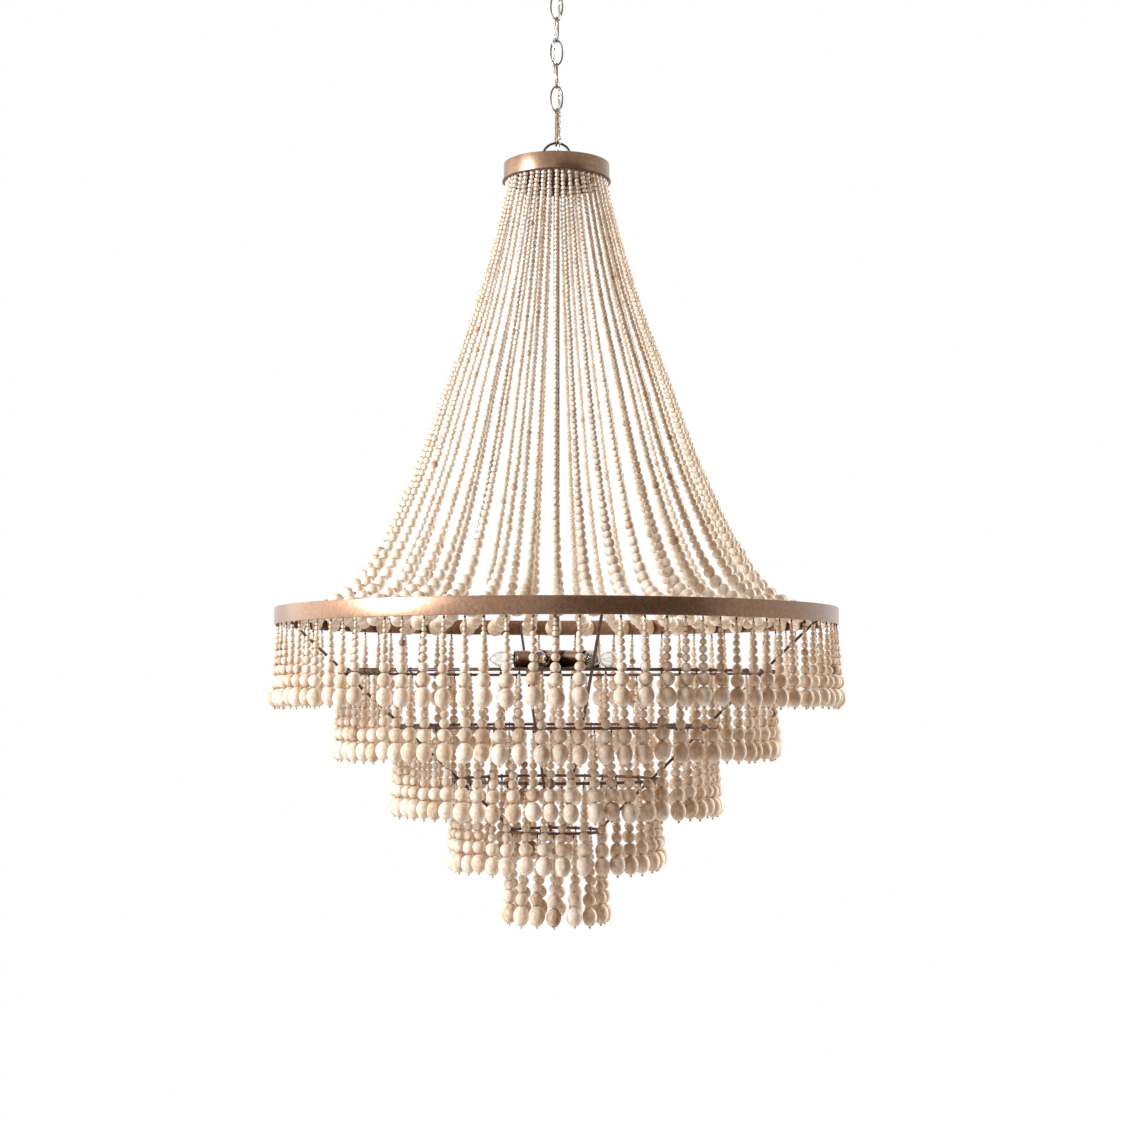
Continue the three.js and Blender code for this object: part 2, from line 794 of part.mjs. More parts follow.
function buildSwags() {
  const topZ = capBottomZ + swagHoopRise;
  const startZ = topZ - hoopHeight;
  const topRadius = capBore - swagHoopWidth * swagHangShare;
  const endRadius = mainBore - swagEndBead;
  const endZ = mainBottomZ + swagEndRise;
  const middles = [{ radius: topRadius, z: startZ, half: swagTopBead * swagTopBeadShare }];
  swagOutShares.forEach((share, place) => {
    middles.push({
      radius: topRadius + share * (endRadius - topRadius),
      z: startZ + swagDownShares[place] * (endZ - startZ),
      half: swagBeadShares[place] * swagEndBead,
    });
  });
  const stations = middles.map((middle, place) => {
    if (place === 0) return { ...middle, outR: 1, outZ: 0 };
    const before = middles[place - 1];
    const after = middles[Math.min(place + 1, middles.length - 1)];
    const along = new THREE.Vector2(after.radius - before.radius, after.z - before.z).normalize();
    return { ...middle, outR: -along.y, outZ: along.x };
  });
  const end = stations[stations.length - 1];
  stations.push({
    ...end,
    radius: end.radius + swagEndBead * swagTipReachShare * end.outZ,
    z: end.z - swagEndBead * swagTipReachShare * end.outR,
    half: swagEndBead * swagTipShare,
  });
  const cellTurn = fullTurn / swagCount;
  const cells = swagCount / swagGroups;
  for (let group = 0; group < swagGroups; group += 1) {
    const geometry = strandRow({
      startTurn: ribTurn + group * cells * cellTurn,
      cellTurn,
      cells,
      whole: false,
      hoop: {
        inner: capBore - swagHoopWidth,
        outer: capBore,
        topZ,
        height: hoopHeight,
      },
      stations,
      endTurn: hoopEndGap / 2 / capRadius,
    });
    add(`swag_strands_${group + 1}`, geometry, wood);
  }
}

buildStrap();
buildCanopy();
buildCanopyLoop();
buildChain();
buildCord();
buildCap();
buildCapLoop();
buildStem();
buildRings();
buildRibs();
buildCross();
buildLights();
buildStrands();
buildSwags();

export default chandelier;
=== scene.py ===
import json
import math
import random

import bpy
import numpy as np
from mathutils import Matrix, Vector


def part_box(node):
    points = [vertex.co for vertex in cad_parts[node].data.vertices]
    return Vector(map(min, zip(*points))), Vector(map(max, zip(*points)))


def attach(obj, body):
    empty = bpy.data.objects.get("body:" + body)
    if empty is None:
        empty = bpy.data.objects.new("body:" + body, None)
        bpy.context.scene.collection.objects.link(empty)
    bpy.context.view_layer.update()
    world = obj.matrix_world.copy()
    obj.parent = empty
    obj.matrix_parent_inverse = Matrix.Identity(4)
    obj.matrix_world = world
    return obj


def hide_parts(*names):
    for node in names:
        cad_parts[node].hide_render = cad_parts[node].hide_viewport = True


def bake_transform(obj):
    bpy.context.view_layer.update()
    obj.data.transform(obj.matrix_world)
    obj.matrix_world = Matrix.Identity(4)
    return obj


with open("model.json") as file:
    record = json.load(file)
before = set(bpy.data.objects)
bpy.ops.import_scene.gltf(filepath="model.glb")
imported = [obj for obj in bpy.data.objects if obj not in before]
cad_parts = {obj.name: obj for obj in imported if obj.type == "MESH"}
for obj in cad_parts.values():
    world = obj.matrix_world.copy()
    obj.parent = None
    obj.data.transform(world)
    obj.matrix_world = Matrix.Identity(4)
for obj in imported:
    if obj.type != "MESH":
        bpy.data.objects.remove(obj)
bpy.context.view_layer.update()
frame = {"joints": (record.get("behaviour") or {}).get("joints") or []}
scene = bpy.context.scene
scene.view_settings.view_transform = "Standard"

# Lengths in this script are in millimetres; meshes are made in metres
MM = 0.001
UP = Vector((0, 0, 1))
FULL = 2 * math.pi
# Shapes turned without a hole have outlines that start and end this near the axis
NEAR_AXIS = 0.05
CHANDELIER = "chandelier"


def bounds_of(node):
    """Lowest and highest corner of a CAD node, in millimetres."""
    low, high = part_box(node)
    return low / MM, high / MM


# Camera

# The photograph is taken from the height of the second row, looking up a little
CAMERA_PLACE = (6.5, -3239.7, -1274.5)
CAMERA_PITCH = 4.008
FOCAL_PIXELS = 1981.9
PHOTO_SIDE = 1121
SENSOR = 36.0
VIEW_DEPTH = 100000
lens = bpy.data.cameras.new("camera")
lens.sensor_width = SENSOR
lens.lens = SENSOR * FOCAL_PIXELS / PHOTO_SIDE
lens.clip_end = VIEW_DEPTH * MM
camera = bpy.data.objects.new("camera", lens)
camera.location = Vector(CAMERA_PLACE) * MM
camera.rotation_euler = (math.radians(90 + CAMERA_PITCH), 0, 0)
scene.collection.objects.link(camera)
scene.camera = camera


# Materials

# Real grain is about 0.5 mm wide; it is drawn 2.6 mm wide and 16 mm long so that it shows
GRAIN_WIDTH, GRAIN_SQUEEZE, GRAIN_DEPTH = 2.6, 0.16, 0.4
WASH_PATCH = 7
WOOD_TONES = [(0.12, "#78563a"), (0.34, "#bf9f7f"), (0.62, "#dfcdb5"), (0.9, "#efe7d9")]
# Real rubbing marks are about 0.3 mm wide; they are drawn 2.5 mm wide so that they show
RUBBING_WIDTH, RUBBING_DEPTH = 2.5, 0.15
GLASS_WAVE, GLASS_WAVE_DEPTH = 12, 0.2
VINYL_HAZE = 5


def colour(code):
    """An sRGB hex colour as linear RGBA."""
    parts = [int(code[i:i + 2], 16) / 255 for i in (1, 3, 5)]
    return [p / 12.92 if p <= 0.04045 else ((p + 0.055) / 1.055) ** 2.4 for p in parts] + [1]


def add_node(tree, kind, links=None, values=None, stops=(), **settings):
    """A node with its settings, its sockets' values and links, and a colour ramp's stops."""
    made = tree.nodes.new(kind)
    for name, value in settings.items():
        setattr(made, name, value)
    for socket, value in (values or {}).items():
        made.inputs[socket].default_value = value
    for socket, source in (links or {}).items():
        tree.links.new(source, made.inputs[socket])
    if stops:
        points = made.color_ramp.elements
        while len(points) < len(stops):
            points.new(0.5)
        for point, (place, code) in zip(points, stops):
            point.position = place
            point.color = colour(code)
    return made


def new_material(name, **sockets):
    """A material with a Principled shader, its uniform values set on the shader's own sockets."""
    material = bpy.data.materials.new(name)
    material.use_nodes = True
    tree = material.node_tree
    shader = tree.nodes["Principled BSDF"]
    for socket, value in sockets.items():
        shader.inputs[socket.replace("_", " ")].default_value = value
    return material, tree, shader


def per_mm(size):
    """Texture scale for a pattern of that size in millimetres, on coordinates in metres."""
    return 1 / (size * MM)


def limed_wood():
    """Turned wooden beads, limed and left unvarnished: matt cream over tan, with grain along the
    hole, some beads darker than others."""
    material, tree, shader = new_material("limed_wood", Roughness=0.72)
    grain = add_node(tree, "ShaderNodeAttribute", attribute_name="grain").outputs["Vector"]
    # Each bead's tone, which also carries painted shade on the hanging rows and painted light on
    # the swags
    tone_and_painted_light = add_node(tree, "ShaderNodeAttribute", attribute_name="tone_and_painted_light").outputs["Fac"]
    drawn_out = add_node(
        tree, "ShaderNodeMapping", {"Vector": grain}, {"Scale": (1, 1, GRAIN_SQUEEZE)}
    ).outputs["Vector"]
    lines = add_node(
        tree,
        "ShaderNodeTexNoise",
        {"Vector": drawn_out},
        {"Scale": per_mm(GRAIN_WIDTH), "Detail": 3, "Roughness": 0.55, "Distortion": 0.4},
    ).outputs["Fac"]
    wash = add_node(
        tree, "ShaderNodeTexNoise", {"Vector": grain}, {"Scale": per_mm(WASH_PATCH), "Detail": 2}
    ).outputs["Fac"]
    mixed = add_node(
        tree, "ShaderNodeMath", {0: lines, 1: wash, 2: tone_and_painted_light}, operation="MULTIPLY_ADD"
    )
    base = add_node(tree, "ShaderNodeValToRGB", {"Fac": mixed.outputs[0]}, stops=WOOD_TONES)
    tree.links.new(base.outputs["Color"], shader.inputs["Base Color"])
    bump = add_node(
        tree, "ShaderNodeBump", {"Height": lines}, {"Strength": 0.35, "Distance": GRAIN_DEPTH * MM}
    )
    tree.links.new(bump.outputs["Normal"], shader.inputs["Normal"])
    return material


def aged_metal(name, stops, patch, rough, streak=(1, 1, 1), metallic=0.9, coat=0):
    """Metal with a hand-rubbed finish: patches of tone, uneven gloss and fine rubbing marks. The
    patches' size is in millimetres, and streak below 1 draws the marks out along that axis."""
    material, tree, shader = new_material(
        name, Metallic=metallic, Coat_Weight=coat, Coat_Roughness=0.25
    )
    place = add_node(tree, "ShaderNodeTexCoord").outputs["Object"]
    patches = add_node(
        tree,
        "ShaderNodeTexNoise",
        {"Vector": place},
        {"Scale": per_mm(patch), "Detail": 6, "Roughness": 0.65},
    ).outputs["Fac"]
    base = add_node(tree, "ShaderNodeValToRGB", {"Fac": patches}, stops=stops)
    tree.links.new(base.outputs["Color"], shader.inputs["Base Color"])
    squeezed = add_node(
        tree, "ShaderNodeMapping", {"Vector": place}, {"Scale": streak}
    ).outputs["Vector"]
    marks = add_node(
        tree,
        "ShaderNodeTexNoise",
        {"Vector": squeezed},
        {"Scale": per_mm(RUBBING_WIDTH), "Detail": 4, "Roughness": 0.6},
    ).outputs["Fac"]
    gloss = add_node(
        tree, "ShaderNodeMapRange", {"Value": marks}, {"To Min": rough[0], "To Max": rough[1]}
    )
    tree.links.new(gloss.outputs["Result"], shader.inputs["Roughness"])
    bump = add_node(
        tree, "ShaderNodeBump", {"Height": marks}, {"Strength": 0.2, "Distance": RUBBING_DEPTH * MM}
    )
    tree.links.new(bump.outputs["Normal"], shader.inputs["Normal"])
    return material


def clear_glass():
    """Blown glass of a bulb: thin, colourless, with sharp reflections."""
    material, tree, shader = new_material(
        "blown_glass",
        Base_Color=colour("#fbfaf7"),
        Roughness=0.02,
        IOR=1.5,
        Transmission_Weight=1.0,
    )
    place = add_node(tree, "ShaderNodeTexCoord").outputs["Object"]
    waves = add_node(
        tree, "ShaderNodeTexNoise", {"Vector": place}, {"Scale": per_mm(GLASS_WAVE), "Detail": 1}
    ).outputs["Fac"]
    bump = add_node(
        tree,
        "ShaderNodeBump",
        {"Height": waves},
        {"Strength": 0.08, "Distance": GLASS_WAVE_DEPTH * MM},
    )
    tree.links.new(bump.outputs["Normal"], shader.inputs["Normal"])
    return material


def clear_vinyl():
    """Extruded clear vinyl of the electric cord: see-through with soft grey edges."""
    material, tree, shader = new_material(
        "clear_vinyl", Base_Color=colour("#eeebe4"), IOR=1.53, Transmission_Weight=0.9
    )
    place = add_node(tree, "ShaderNodeTexCoord").outputs["Object"]
    haze = add_node(
        tree, "ShaderNodeTexNoise", {"Vector": place}, {"Scale": per_mm(VINYL_HAZE), "Detail": 2}
    ).outputs["Fac"]
    gloss = add_node(
        tree, "ShaderNodeMapRange", {"Value": haze}, {"To Min": 0.04, "To Max": 0.14}
    )
    tree.links.new(gloss.outputs["Result"], shader.inputs["Roughness"])
    return material


def cloudy_coat(name, rough, patch, stops):
    """An opaque glaze or paint whose colour drifts a little from place to place."""
    material, tree, shader = new_material(name, Roughness=rough)
    place = add_node(tree, "ShaderNodeTexCoord").outputs["Object"]
    cloud = add_node(
        tree, "ShaderNodeTexNoise", {"Vector": place}, {"Scale": per_mm(patch), "Detail": 2}
    ).outputs["Fac"]
    base = add_node(tree, "ShaderNodeValToRGB", {"Fac": cloud}, stops=stops)
    tree.links.new(base.outputs["Color"], shader.inputs["Base Color"])
    return material


WOOD = limed_wood()
# Bronze paint on rolled steel, rubbed through by hand: mid brown, paler where worn, satin gloss
BRONZE = aged_metal(
    "rubbed_bronze",
    [(0.25, "#664733"), (0.45, "#805d43"), (0.6, "#8b674b"), (0.8, "#a07e60")],
    patch=5,
    rough=(0.28, 0.42),
    streak=(1, 1, 0.25),
    coat=0.7,
)
# The same paint left thick on wire and small parts: dark brown, duller, less like bare metal
DARK_BRONZE = aged_metal(
    "painted_bronze",
    [(0.3, "#3a251c"), (0.55, "#573a2d"), (0.8, "#745343")],
    patch=9,
    rough=(0.35, 0.5),
    metallic=0.4,
)
# Drawn steel tube with a thin bronze wash: greyer than the bands, with clear bright lines
STEM_STEEL = aged_metal(
    "bronzed_steel_tube",
    [(0.3, "#6d5a50"), (0.7, "#8f7c71")],
    patch=9,
    rough=(0.2, 0.32),
    metallic=1.0,
)
# Brass chain tumbled with grit: grey brown, soft highlights
CHAIN = aged_metal(
    "tumbled_brass",
    [(0.3, "#5f5347"), (0.55, "#7b6d5f"), (0.8, "#94867a")],
    patch=6,
    rough=(0.25, 0.4),
)
# Zinc plated sheet steel: pale grey, a little cloudy
ZINC = aged_metal(
    "zinc_plated_steel",
    [(0.3, "#a29d92"), (0.7, "#cbc7bd")],
    patch=8,
    rough=(0.3, 0.5),
    metallic=1.0,
)
# Stamped brass of the bulbs' screw caps: bright and yellow
CAP_BRASS = aged_metal(
    "stamped_brass",
    [(0.3, "#b08d4f"), (0.7, "#d2b172")],
    patch=5,
    rough=(0.2, 0.35),
    metallic=1.0,
)
# Tinned copper in the cord: silvery through the vinyl
TINNED = aged_metal(
    "tinned_copper",
    [(0.3, "#c4c0ba"), (0.7, "#dedbd6")],
    patch=5,
    rough=(0.25, 0.4),
    metallic=1.0,
)
# Drawn tungsten of the filaments: thin dull grey lines
TUNGSTEN = aged_metal(
    "tungsten_wire",
    [(0.3, "#77716a"), (0.7, "#a49c92")],
    patch=3,
    rough=(0.35, 0.5),
    metallic=1.0,
)
GLASS = clear_glass()
VINYL = clear_vinyl()
# Glazed ceramic round the bulb holders' contacts: off-white and smooth
CERAMIC = cloudy_coat(
    "glazed_ceramic", rough=0.3, patch=6, stops=[(0.3, "#e6dfd2"), (0.7, "#f1ece2")]
)


# Mesh making

# Rounded corners take a little less than half of a side each
NEAR_HALF = 0.49


class Form:
    """Closed shapes gathered into one mesh, with two values kept at each point for the wood:
    where it lies in its own bead, and how light that bead is drawn, painted shade of the hanging
    rows and painted light of the swags included."""

    def __init__(self):
        self.points, self.faces, self.grain, self.tone_and_painted_light = [], [], [], []
        self.count = 0

    def add(self, points, faces, grain=None, tone_and_painted_light=None):
        points = np.asarray(points, float).reshape(-1, 3)
        self.points.append(points)
        self.faces += [np.asarray(f, int) + self.count for f in faces]
        self.grain.append(points if grain is None else grain)
        self.tone_and_painted_light.append(np.zeros(len(points)) if tone_and_painted_light is None else tone_and_painted_light)
        self.count += len(points)
        return self

    def make(self, name, material, body=CHANDELIER, slot="bronze", replaces=(), sharp=40):
        mesh = bpy.data.meshes.new(name)
        points = np.concatenate(self.points) * MM
        mesh.vertices.add(len(points))
        mesh.vertices.foreach_set("co", points.ravel())
        corners = np.concatenate([f.ravel() for f in self.faces])
        sizes = np.concatenate([np.full(f.shape[0], f.shape[1]) for f in self.faces])
        mesh.loops.add(len(corners))
        mesh.loops.foreach_set("vertex_index", corners)
        mesh.polygons.add(len(sizes))
        mesh.polygons.foreach_set("loop_start", np.cumsum(sizes) - sizes)
        mesh.polygons.foreach_set("use_smooth", np.ones(len(sizes), bool))
        mesh.update(calc_edges=True)
        mesh.validate()
        if sharp:
            mesh.set_sharp_from_angle(angle=math.radians(sharp))
        if material == WOOD:
            grain = mesh.attributes.new("grain", "FLOAT_VECTOR", "POINT")
            grain.data.foreach_set("vector", (np.concatenate(self.grain) * MM).ravel())
            tone_and_painted_light = mesh.attributes.new("tone_and_painted_light", "FLOAT", "POINT")
            tone_and_painted_light.data.foreach_set("value", np.concatenate(self.tone_and_painted_light))
        mesh.materials.append(material)
        piece = bpy.data.objects.new(name, mesh)
        scene.collection.objects.link(piece)
        if body:
            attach(piece, body)
        if replaces:
            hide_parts(*replaces)
        return piece


def skin(rings, closed):
    """Faces between rings of as many points each; an open run of rings gets flat ends."""
    rings = np.asarray(rings, float)
    count, sides = rings.shape[:2]
    index = np.arange(count * sides).reshape(count, sides)
    following = np.roll(index, -1, axis=0) if closed else index[1:]
    start = index if closed else index[:-1]
    quads = np.stack(
        [start, np.roll(start, -1, axis=1), np.roll(following, -1, axis=1), following], axis=-1
    ).reshape(-1, 4)
    faces = [quads]
    if not closed:
        faces += [index[:1, ::-1], index[-1:]]
    return rings.reshape(-1, 3), faces


def turned(outline, steps, closed=True):
    """An outline of (radius, z) points turned round Z; an open one starts and ends near it."""
    outline = np.asarray(outline, float)
    turns = np.arange(steps) / steps * FULL
    rings = np.stack(
        [
            np.outer(outline[:, 0], np.cos(turns)),
            np.outer(outline[:, 0], np.sin(turns)),
            np.repeat(outline[:, 1:], steps, axis=1),
        ],
        axis=-1,
    )
    return skin(rings, closed)


def raised(outline, z):
    """An outline of (radius, height) points moved up by z."""
    return [(radius, height + z) for radius, height in outline]


def around(radius, turn, z):
    """The point at that distance from the Z axis, that turn about it and that height."""
    return radius * math.cos(turn), radius * math.sin(turn), z


def rounded(corners, radius, steps=3):
    """The outline with each corner rounded."""
    made = []
    corners = [Vector(c) for c in corners]
    threes = zip(corners[-1:] + corners[:-1], corners, corners[1:] + corners[:1])
    for before, corner, after in threes:
        into, out = (before - corner), (after - corner)
        reach = min(radius, into.length * NEAR_HALF, out.length * NEAR_HALF)
        start, end = corner + into.normalized() * reach, corner + out.normalized() * reach
        for step in range(steps + 1):
            t = step / steps
            made.append((start * (1 - t) ** 2 + corner * 2 * t * (1 - t) + end * t ** 2)[:])
    return made


def band(inner, outer, top, bottom, edge):
    """Section of a flat band with eased edges, turned anticlockwise."""
    return rounded([(inner, top), (inner, bottom), (outer, bottom), (outer, top)], edge)[::-1]


def swept(path, radius, sides, closed=False):
    """A rod along a path, turned as little as possible from point to point. Its radius is one
    number, or a list of one for each point."""
    path = [Vector(p) for p in path]
    count = len(path)
    radii = radius if isinstance(radius, list) else [radius] * count
    tangents = []
    for i in range(count):
        before = path[(i - 1) % count] if closed or i else path[0]
        after = path[(i + 1) % count] if closed or i < count - 1 else path[-1]
        tangents.append((after - before).normalized())
    side = tangents[0].orthogonal().normalized()
    rings = []
    for i, (point, along) in enumerate(zip(path, tangents)):
        if i:
            side = tangents[i - 1].rotation_difference(along) @ side
        side = (side - along * side.dot(along)).normalized()
        other = along.cross(side)
        turns = [s / sides * FULL for s in range(sides)]
        rings.append(
            [point + radii[i] * (math.cos(a) * side + math.sin(a) * other) for a in turns]
        )
    if closed:
        # The last ring turns back to meet the first without a twist
        final = tangents[-1].rotation_difference(tangents[0]) @ side
        first = tangents[0].orthogonal().normalized()
        twist = math.atan2(final.cross(first).dot(tangents[0]), final.dot(first))
        for i, ring in enumerate(rings):
            spin = Matrix.Rotation(twist * i / count, 3, tangents[i])
            rings[i] = [path[i] + spin @ (p - path[i]) for p in ring]
    return skin([[p[:] for p in ring] for ring in rings], closed)


def moved(shape, matrix):
    """A shape's points carried by a matrix."""
    points, faces = shape
    turn = np.array(matrix.to_3x3())
    return points @ turn.T + np.array(matrix.translation), faces


def hexagonal_block(flat, top, bottom, bore, edge, turn=0.0, steps=10):
    """A block with a round bore and eased edges; its six sides lie at the distance flat."""
    outline = []
    for side in range(6):
        for step in range(steps):
            a = (step / steps - 0.5) * FULL / 6
            outline.append(around(flat / math.cos(a), a + side * FULL / 6 + turn, 0)[:2])
    outline = np.array(outline)
    reach = np.linalg.norm(outline, axis=1, keepdims=True)
    shrink = 1 - edge / reach
    levels = [
        (outline / reach * bore, top),
        (outline / reach * bore, bottom),
        (outline * shrink, bottom),
        (outline, bottom + edge),
        (outline, top - edge),
        (outline * shrink, top),
    ]
    return skin([np.column_stack([at, np.full(len(at), z)]) for at, z in levels], True)


def flat_bar(length, width, height, middle, edge, turn=0.0):
    """A straight bar with eased edges, its length turned from X about Z."""
    wide, high = width / 2, height / 2
    section = rounded([(-wide, -high), (wide, -high), (wide, high), (-wide, high)], edge, 2)
    end = length / 2
    rings = [
        [(x, y * (1 - 2 * shrink / width), z * (1 - 2 * shrink / height)) for y, z in section]
        for x, shrink in ((-end, edge), (-end + edge, 0), (end - edge, 0), (end, edge))
    ]
    place = Matrix.Translation(middle) @ Matrix.Rotation(turn, 4, "Z")
    return moved(skin(rings, False), place)


def link_path(length, width, wire, end_rise, top, across_y, steps=18):
    """Middle line of an oval link that stands on edge."""
    half = (width - wire) / 2
    straight = (length - wire) / 2 - end_rise
    middle = top - length / 2
    made = []
    for end in (1, -1):
        for step in range(steps + 1):
            a = (step / steps) * math.pi + (0 if end > 0 else math.pi)
            x, z = half * math.cos(a), middle + end * straight + end_rise * math.sin(a)
            made.append((0, x, z) if across_y else (x, 0, z))
    return made


def through(points, steps):
    """A smooth curve through the points, spaced by the root of their distances."""
    points = [Vector(p) for p in points]
    padded = [points[0] * 2 - points[1]] + points + [points[-1] * 2 - points[-2]]
    made = []
    for a, b, c, d in zip(padded, padded[1:], padded[2:], padded[3:]):
        t0, t1 = 0.0, (b - a).length ** 0.5
        t2 = t1 + (c - b).length ** 0.5
        t3 = t2 + (d - c).length ** 0.5
        for step in range(steps):
            t = t1 + (t2 - t1) * step / steps
            ab = a * ((t1 - t) / (t1 - t0)) + b * ((t - t0) / (t1 - t0))
            bc = b * ((t2 - t) / (t2 - t1)) + c * ((t - t1) / (t2 - t1))
            cd = c * ((t3 - t) / (t3 - t2)) + d * ((t - t2) / (t3 - t2))
            abc = ab * ((t2 - t) / (t2 - t0)) + bc * ((t - t0) / (t2 - t0))
            bcd = bc * ((t3 - t) / (t3 - t1)) + cd * ((t - t1) / (t3 - t1))
            made.append(abc * ((t2 - t) / (t2 - t1)) + bcd * ((t - t1) / (t2 - t1)))
    return made + [points[-1]]


# Cord

# Clear cord with two conductors; it weaves through the small links and runs into the stem
CORD_RADIUS, CORD_STEPS = 2.3, 14
CONDUCTOR_RADIUS, CONDUCTOR_OFFSET, CONDUCTOR_LAY = 0.62, 0.75, 26
CORD_START = [(-15, 15, -9), (-15, 15, -32)]
# It passes the contacts of the links in these corners in turn, this far from the middle, and
# crosses each link near its centre
CORNERS = [(-1, 1), (1, 1), (1, -1), (-1, -1)]
WEAVE, CROSSING = 5, 3.8
FIRST_JOINT, LINK_PITCH, LINKS = -61.35, 39.1, 6
LONG_LINK_MIDDLE, CAP_LOOP_TOP = -325.2, -350.3
STEM_ENTRY = [(0, 0, -377.3), (0, 0, -395.3)]


def cord_points():
    """The route's points, as in the part."""
    made = list(CORD_START)
    for joint in range(LINKS):
        (x, y), (next_x, next_y) = CORNERS[joint % 4], CORNERS[(joint + 1) % 4]
        z = FIRST_JOINT - joint * LINK_PITCH
        made.append((x * WEAVE, y * WEAVE, z))
        middle_x, middle_y = (x + next_x) / 2, (y + next_y) / 2
        made.append((middle_x * CROSSING, middle_y * CROSSING, z - LINK_PITCH / 2))
    x, y = CORNERS[LINKS % 4]
    for z in (FIRST_JOINT - LINKS * LINK_PITCH, LONG_LINK_MIDDLE, CAP_LOOP_TOP):
        made.append((x * WEAVE, y * WEAVE, z))
    return made + STEM_ENTRY


def conductor(line, turn):
    """A conductor's line, which winds round the cord's middle line."""
    made, run, last = [], 0.0, line[0]
    for i, point in enumerate(line):
        along = (line[min(i + 1, len(line) - 1)] - line[max(i - 1, 0)]).normalized()
        run += (point - last).length
        last = point
        side = along.cross(Vector((0, 1, 0))).normalized()
        other = along.cross(side)
        a = run / CONDUCTOR_LAY * FULL + turn
        made.append(point + CONDUCTOR_OFFSET * (math.cos(a) * side + math.sin(a) * other))
    return made


def build_cord():
    line = through(cord_points(), CORD_STEPS)
    chain = ["canopy"] + [f"chain_link_{k + 1}" for k in range(LINKS)] + ["long_link", CHANDELIER]
    joint_heights = [j["pos_m"][2] / MM for j in frame["joints"]]
    cuts = [(a + b) / 2 for a, b in zip(joint_heights, joint_heights[1:])]
    looks = [
        ("cord_cover", CORD_RADIUS, 16, VINYL, line),
        ("cord_wire_a", CONDUCTOR_RADIUS, 8, TINNED, conductor(line, 0)),
        ("cord_wire_b", CONDUCTOR_RADIUS, 8, TINNED, conductor(line, math.pi)),
    ]
    edges = [0] + [next(i for i, p in enumerate(line) if p.z <= cut) for cut in cuts]
    edges.append(len(line) - 1)
    for part, (upper, lower) in enumerate(zip(chain, chain[1:])):
        for name, radius, sides, material, path in looks:
            stretch = path[edges[part]:edges[part + 1] + 1]
            form = Form().add(*swept(stretch, radius, sides))
            piece = form.make(f"{name}_{part + 1}", material, None, "clear_cord", ["power_cord"])
            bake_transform(piece)


build_cord()


# Ceiling fitting and chain

STRAP_SLOT_LONG, STRAP_SLOT_WIDE, STRAP_SLOT_AT = 10, 5, 42
STRAP_EDGE, SLOT_EDGE = 0.4, 0.01
THREAD_PITCH, THREAD_DEPTH, THREAD_CREST, NIPPLE_BORE = 1.0, 0.35, 0.1, 3.2
CANOPY_HOLE, CANOPY_WALL, CANOPY_RIM_RISE = 5.35, 1.6, 21.5
# Radius and height over the canopy's lowest face
CANOPY_DOME = [(11, 0), (32, 2.2), (46, 7.5), (56.5, 14), (60.8, 19.2)]
# Radius and height from the collar's top
COLLAR_OUTLINE = [
    (NEAR_AXIS, -11.7), (8, -11.7), (10, -9), (10, -5.8), (9.2, -5),
    (9.2, -3.8), (10, -3), (10, -1.2), (8.8, 0), (NEAR_AXIS, 0),
]
COLLAR_LOOP, COLLAR_LOOP_WIRE, COLLAR_LOOP_RISE = 30, 4, 12


def build_strap():
    """The ceiling strap, as the bands of metal beside, between and past its two slots."""
    low, high = bounds_of("ceiling_strap")
    length, width, thick = high - low
    middle_z = (low.z + high.z) / 2
    side_wide = (width - STRAP_SLOT_WIDE) / 2
    inner_long = 2 * STRAP_SLOT_AT - STRAP_SLOT_LONG
    end_long = (length - inner_long - 2 * STRAP_SLOT_LONG) / 2
    strap = Form()
    for side in (-1, 1):
        place = (0, side * (STRAP_SLOT_WIDE + side_wide) / 2, middle_z)
        strap.add(*flat_bar(length, side_wide, thick, place, STRAP_EDGE))
    strap.add(*flat_bar(inner_long, STRAP_SLOT_WIDE, thick, (0, 0, middle_z), SLOT_EDGE))
    for side in (-1, 1):
        place = (side * (length - end_long) / 2, 0, middle_z)
        strap.add(*flat_bar(end_long, STRAP_SLOT_WIDE, thick, place, SLOT_EDGE))
    strap.make("ceiling_strap_plate", ZINC, "canopy", "plated_steel", ["ceiling_strap"])


def build_nipple():
    low, high = bounds_of("canopy_nipple")
    outline = []
    for turn in range(int((high.z - low.z) / THREAD_PITCH)):
        z = high.z - turn * THREAD_PITCH
        outline += [(high.x - THREAD_DEPTH, z - THREAD_CREST), (high.x, z - THREAD_PITCH / 2)]
    outline += [(NIPPLE_BORE, low.z), (NIPPLE_BORE, high.z)]
    Form().add(*turned(outline[::-1], 24)).make(
        "threaded_nipple", ZINC, "canopy", "plated_steel", ["canopy_nipple"]
    )


def build_canopy():
    low, high = bounds_of("ceiling_canopy")
    bottom, rim = low.z, high.x
    dome = through([(radius, 0, z) for radius, z in raised(CANOPY_DOME, bottom)], 8)
    outside = [(CANOPY_HOLE, bottom)] + [(p.x, p.z) for p in dome]
    outside += [(rim, bottom + CANOPY_RIM_RISE), (rim, high.z)]
    inside = [(CANOPY_HOLE, bottom + CANOPY_WALL)]
    inside += [(p.x - CANOPY_WALL, max(p.z, bottom) + CANOPY_WALL) for p in dome]
    inside.append((rim - CANOPY_WALL, high.z))
    Form().add(*turned(outside + inside[::-1], 96)).make(
        "spun_canopy", BRONZE, "canopy", "bronze", ["ceiling_canopy"], sharp=30
    )


def build_collar():
    low, high = bounds_of("canopy_loop")
    top = low.z + COLLAR_LOOP
    loop = link_path(COLLAR_LOOP, COLLAR_LOOP, COLLAR_LOOP_WIRE, COLLAR_LOOP_RISE, top, False)
    form = Form().add(*turned(raised(COLLAR_OUTLINE, high.z), 48, False))
    form.add(*swept(loop, COLLAR_LOOP_WIRE / 2, 16, True))
    form.make("screw_collar_loop", BRONZE, "canopy", "bronze", ["canopy_loop"])


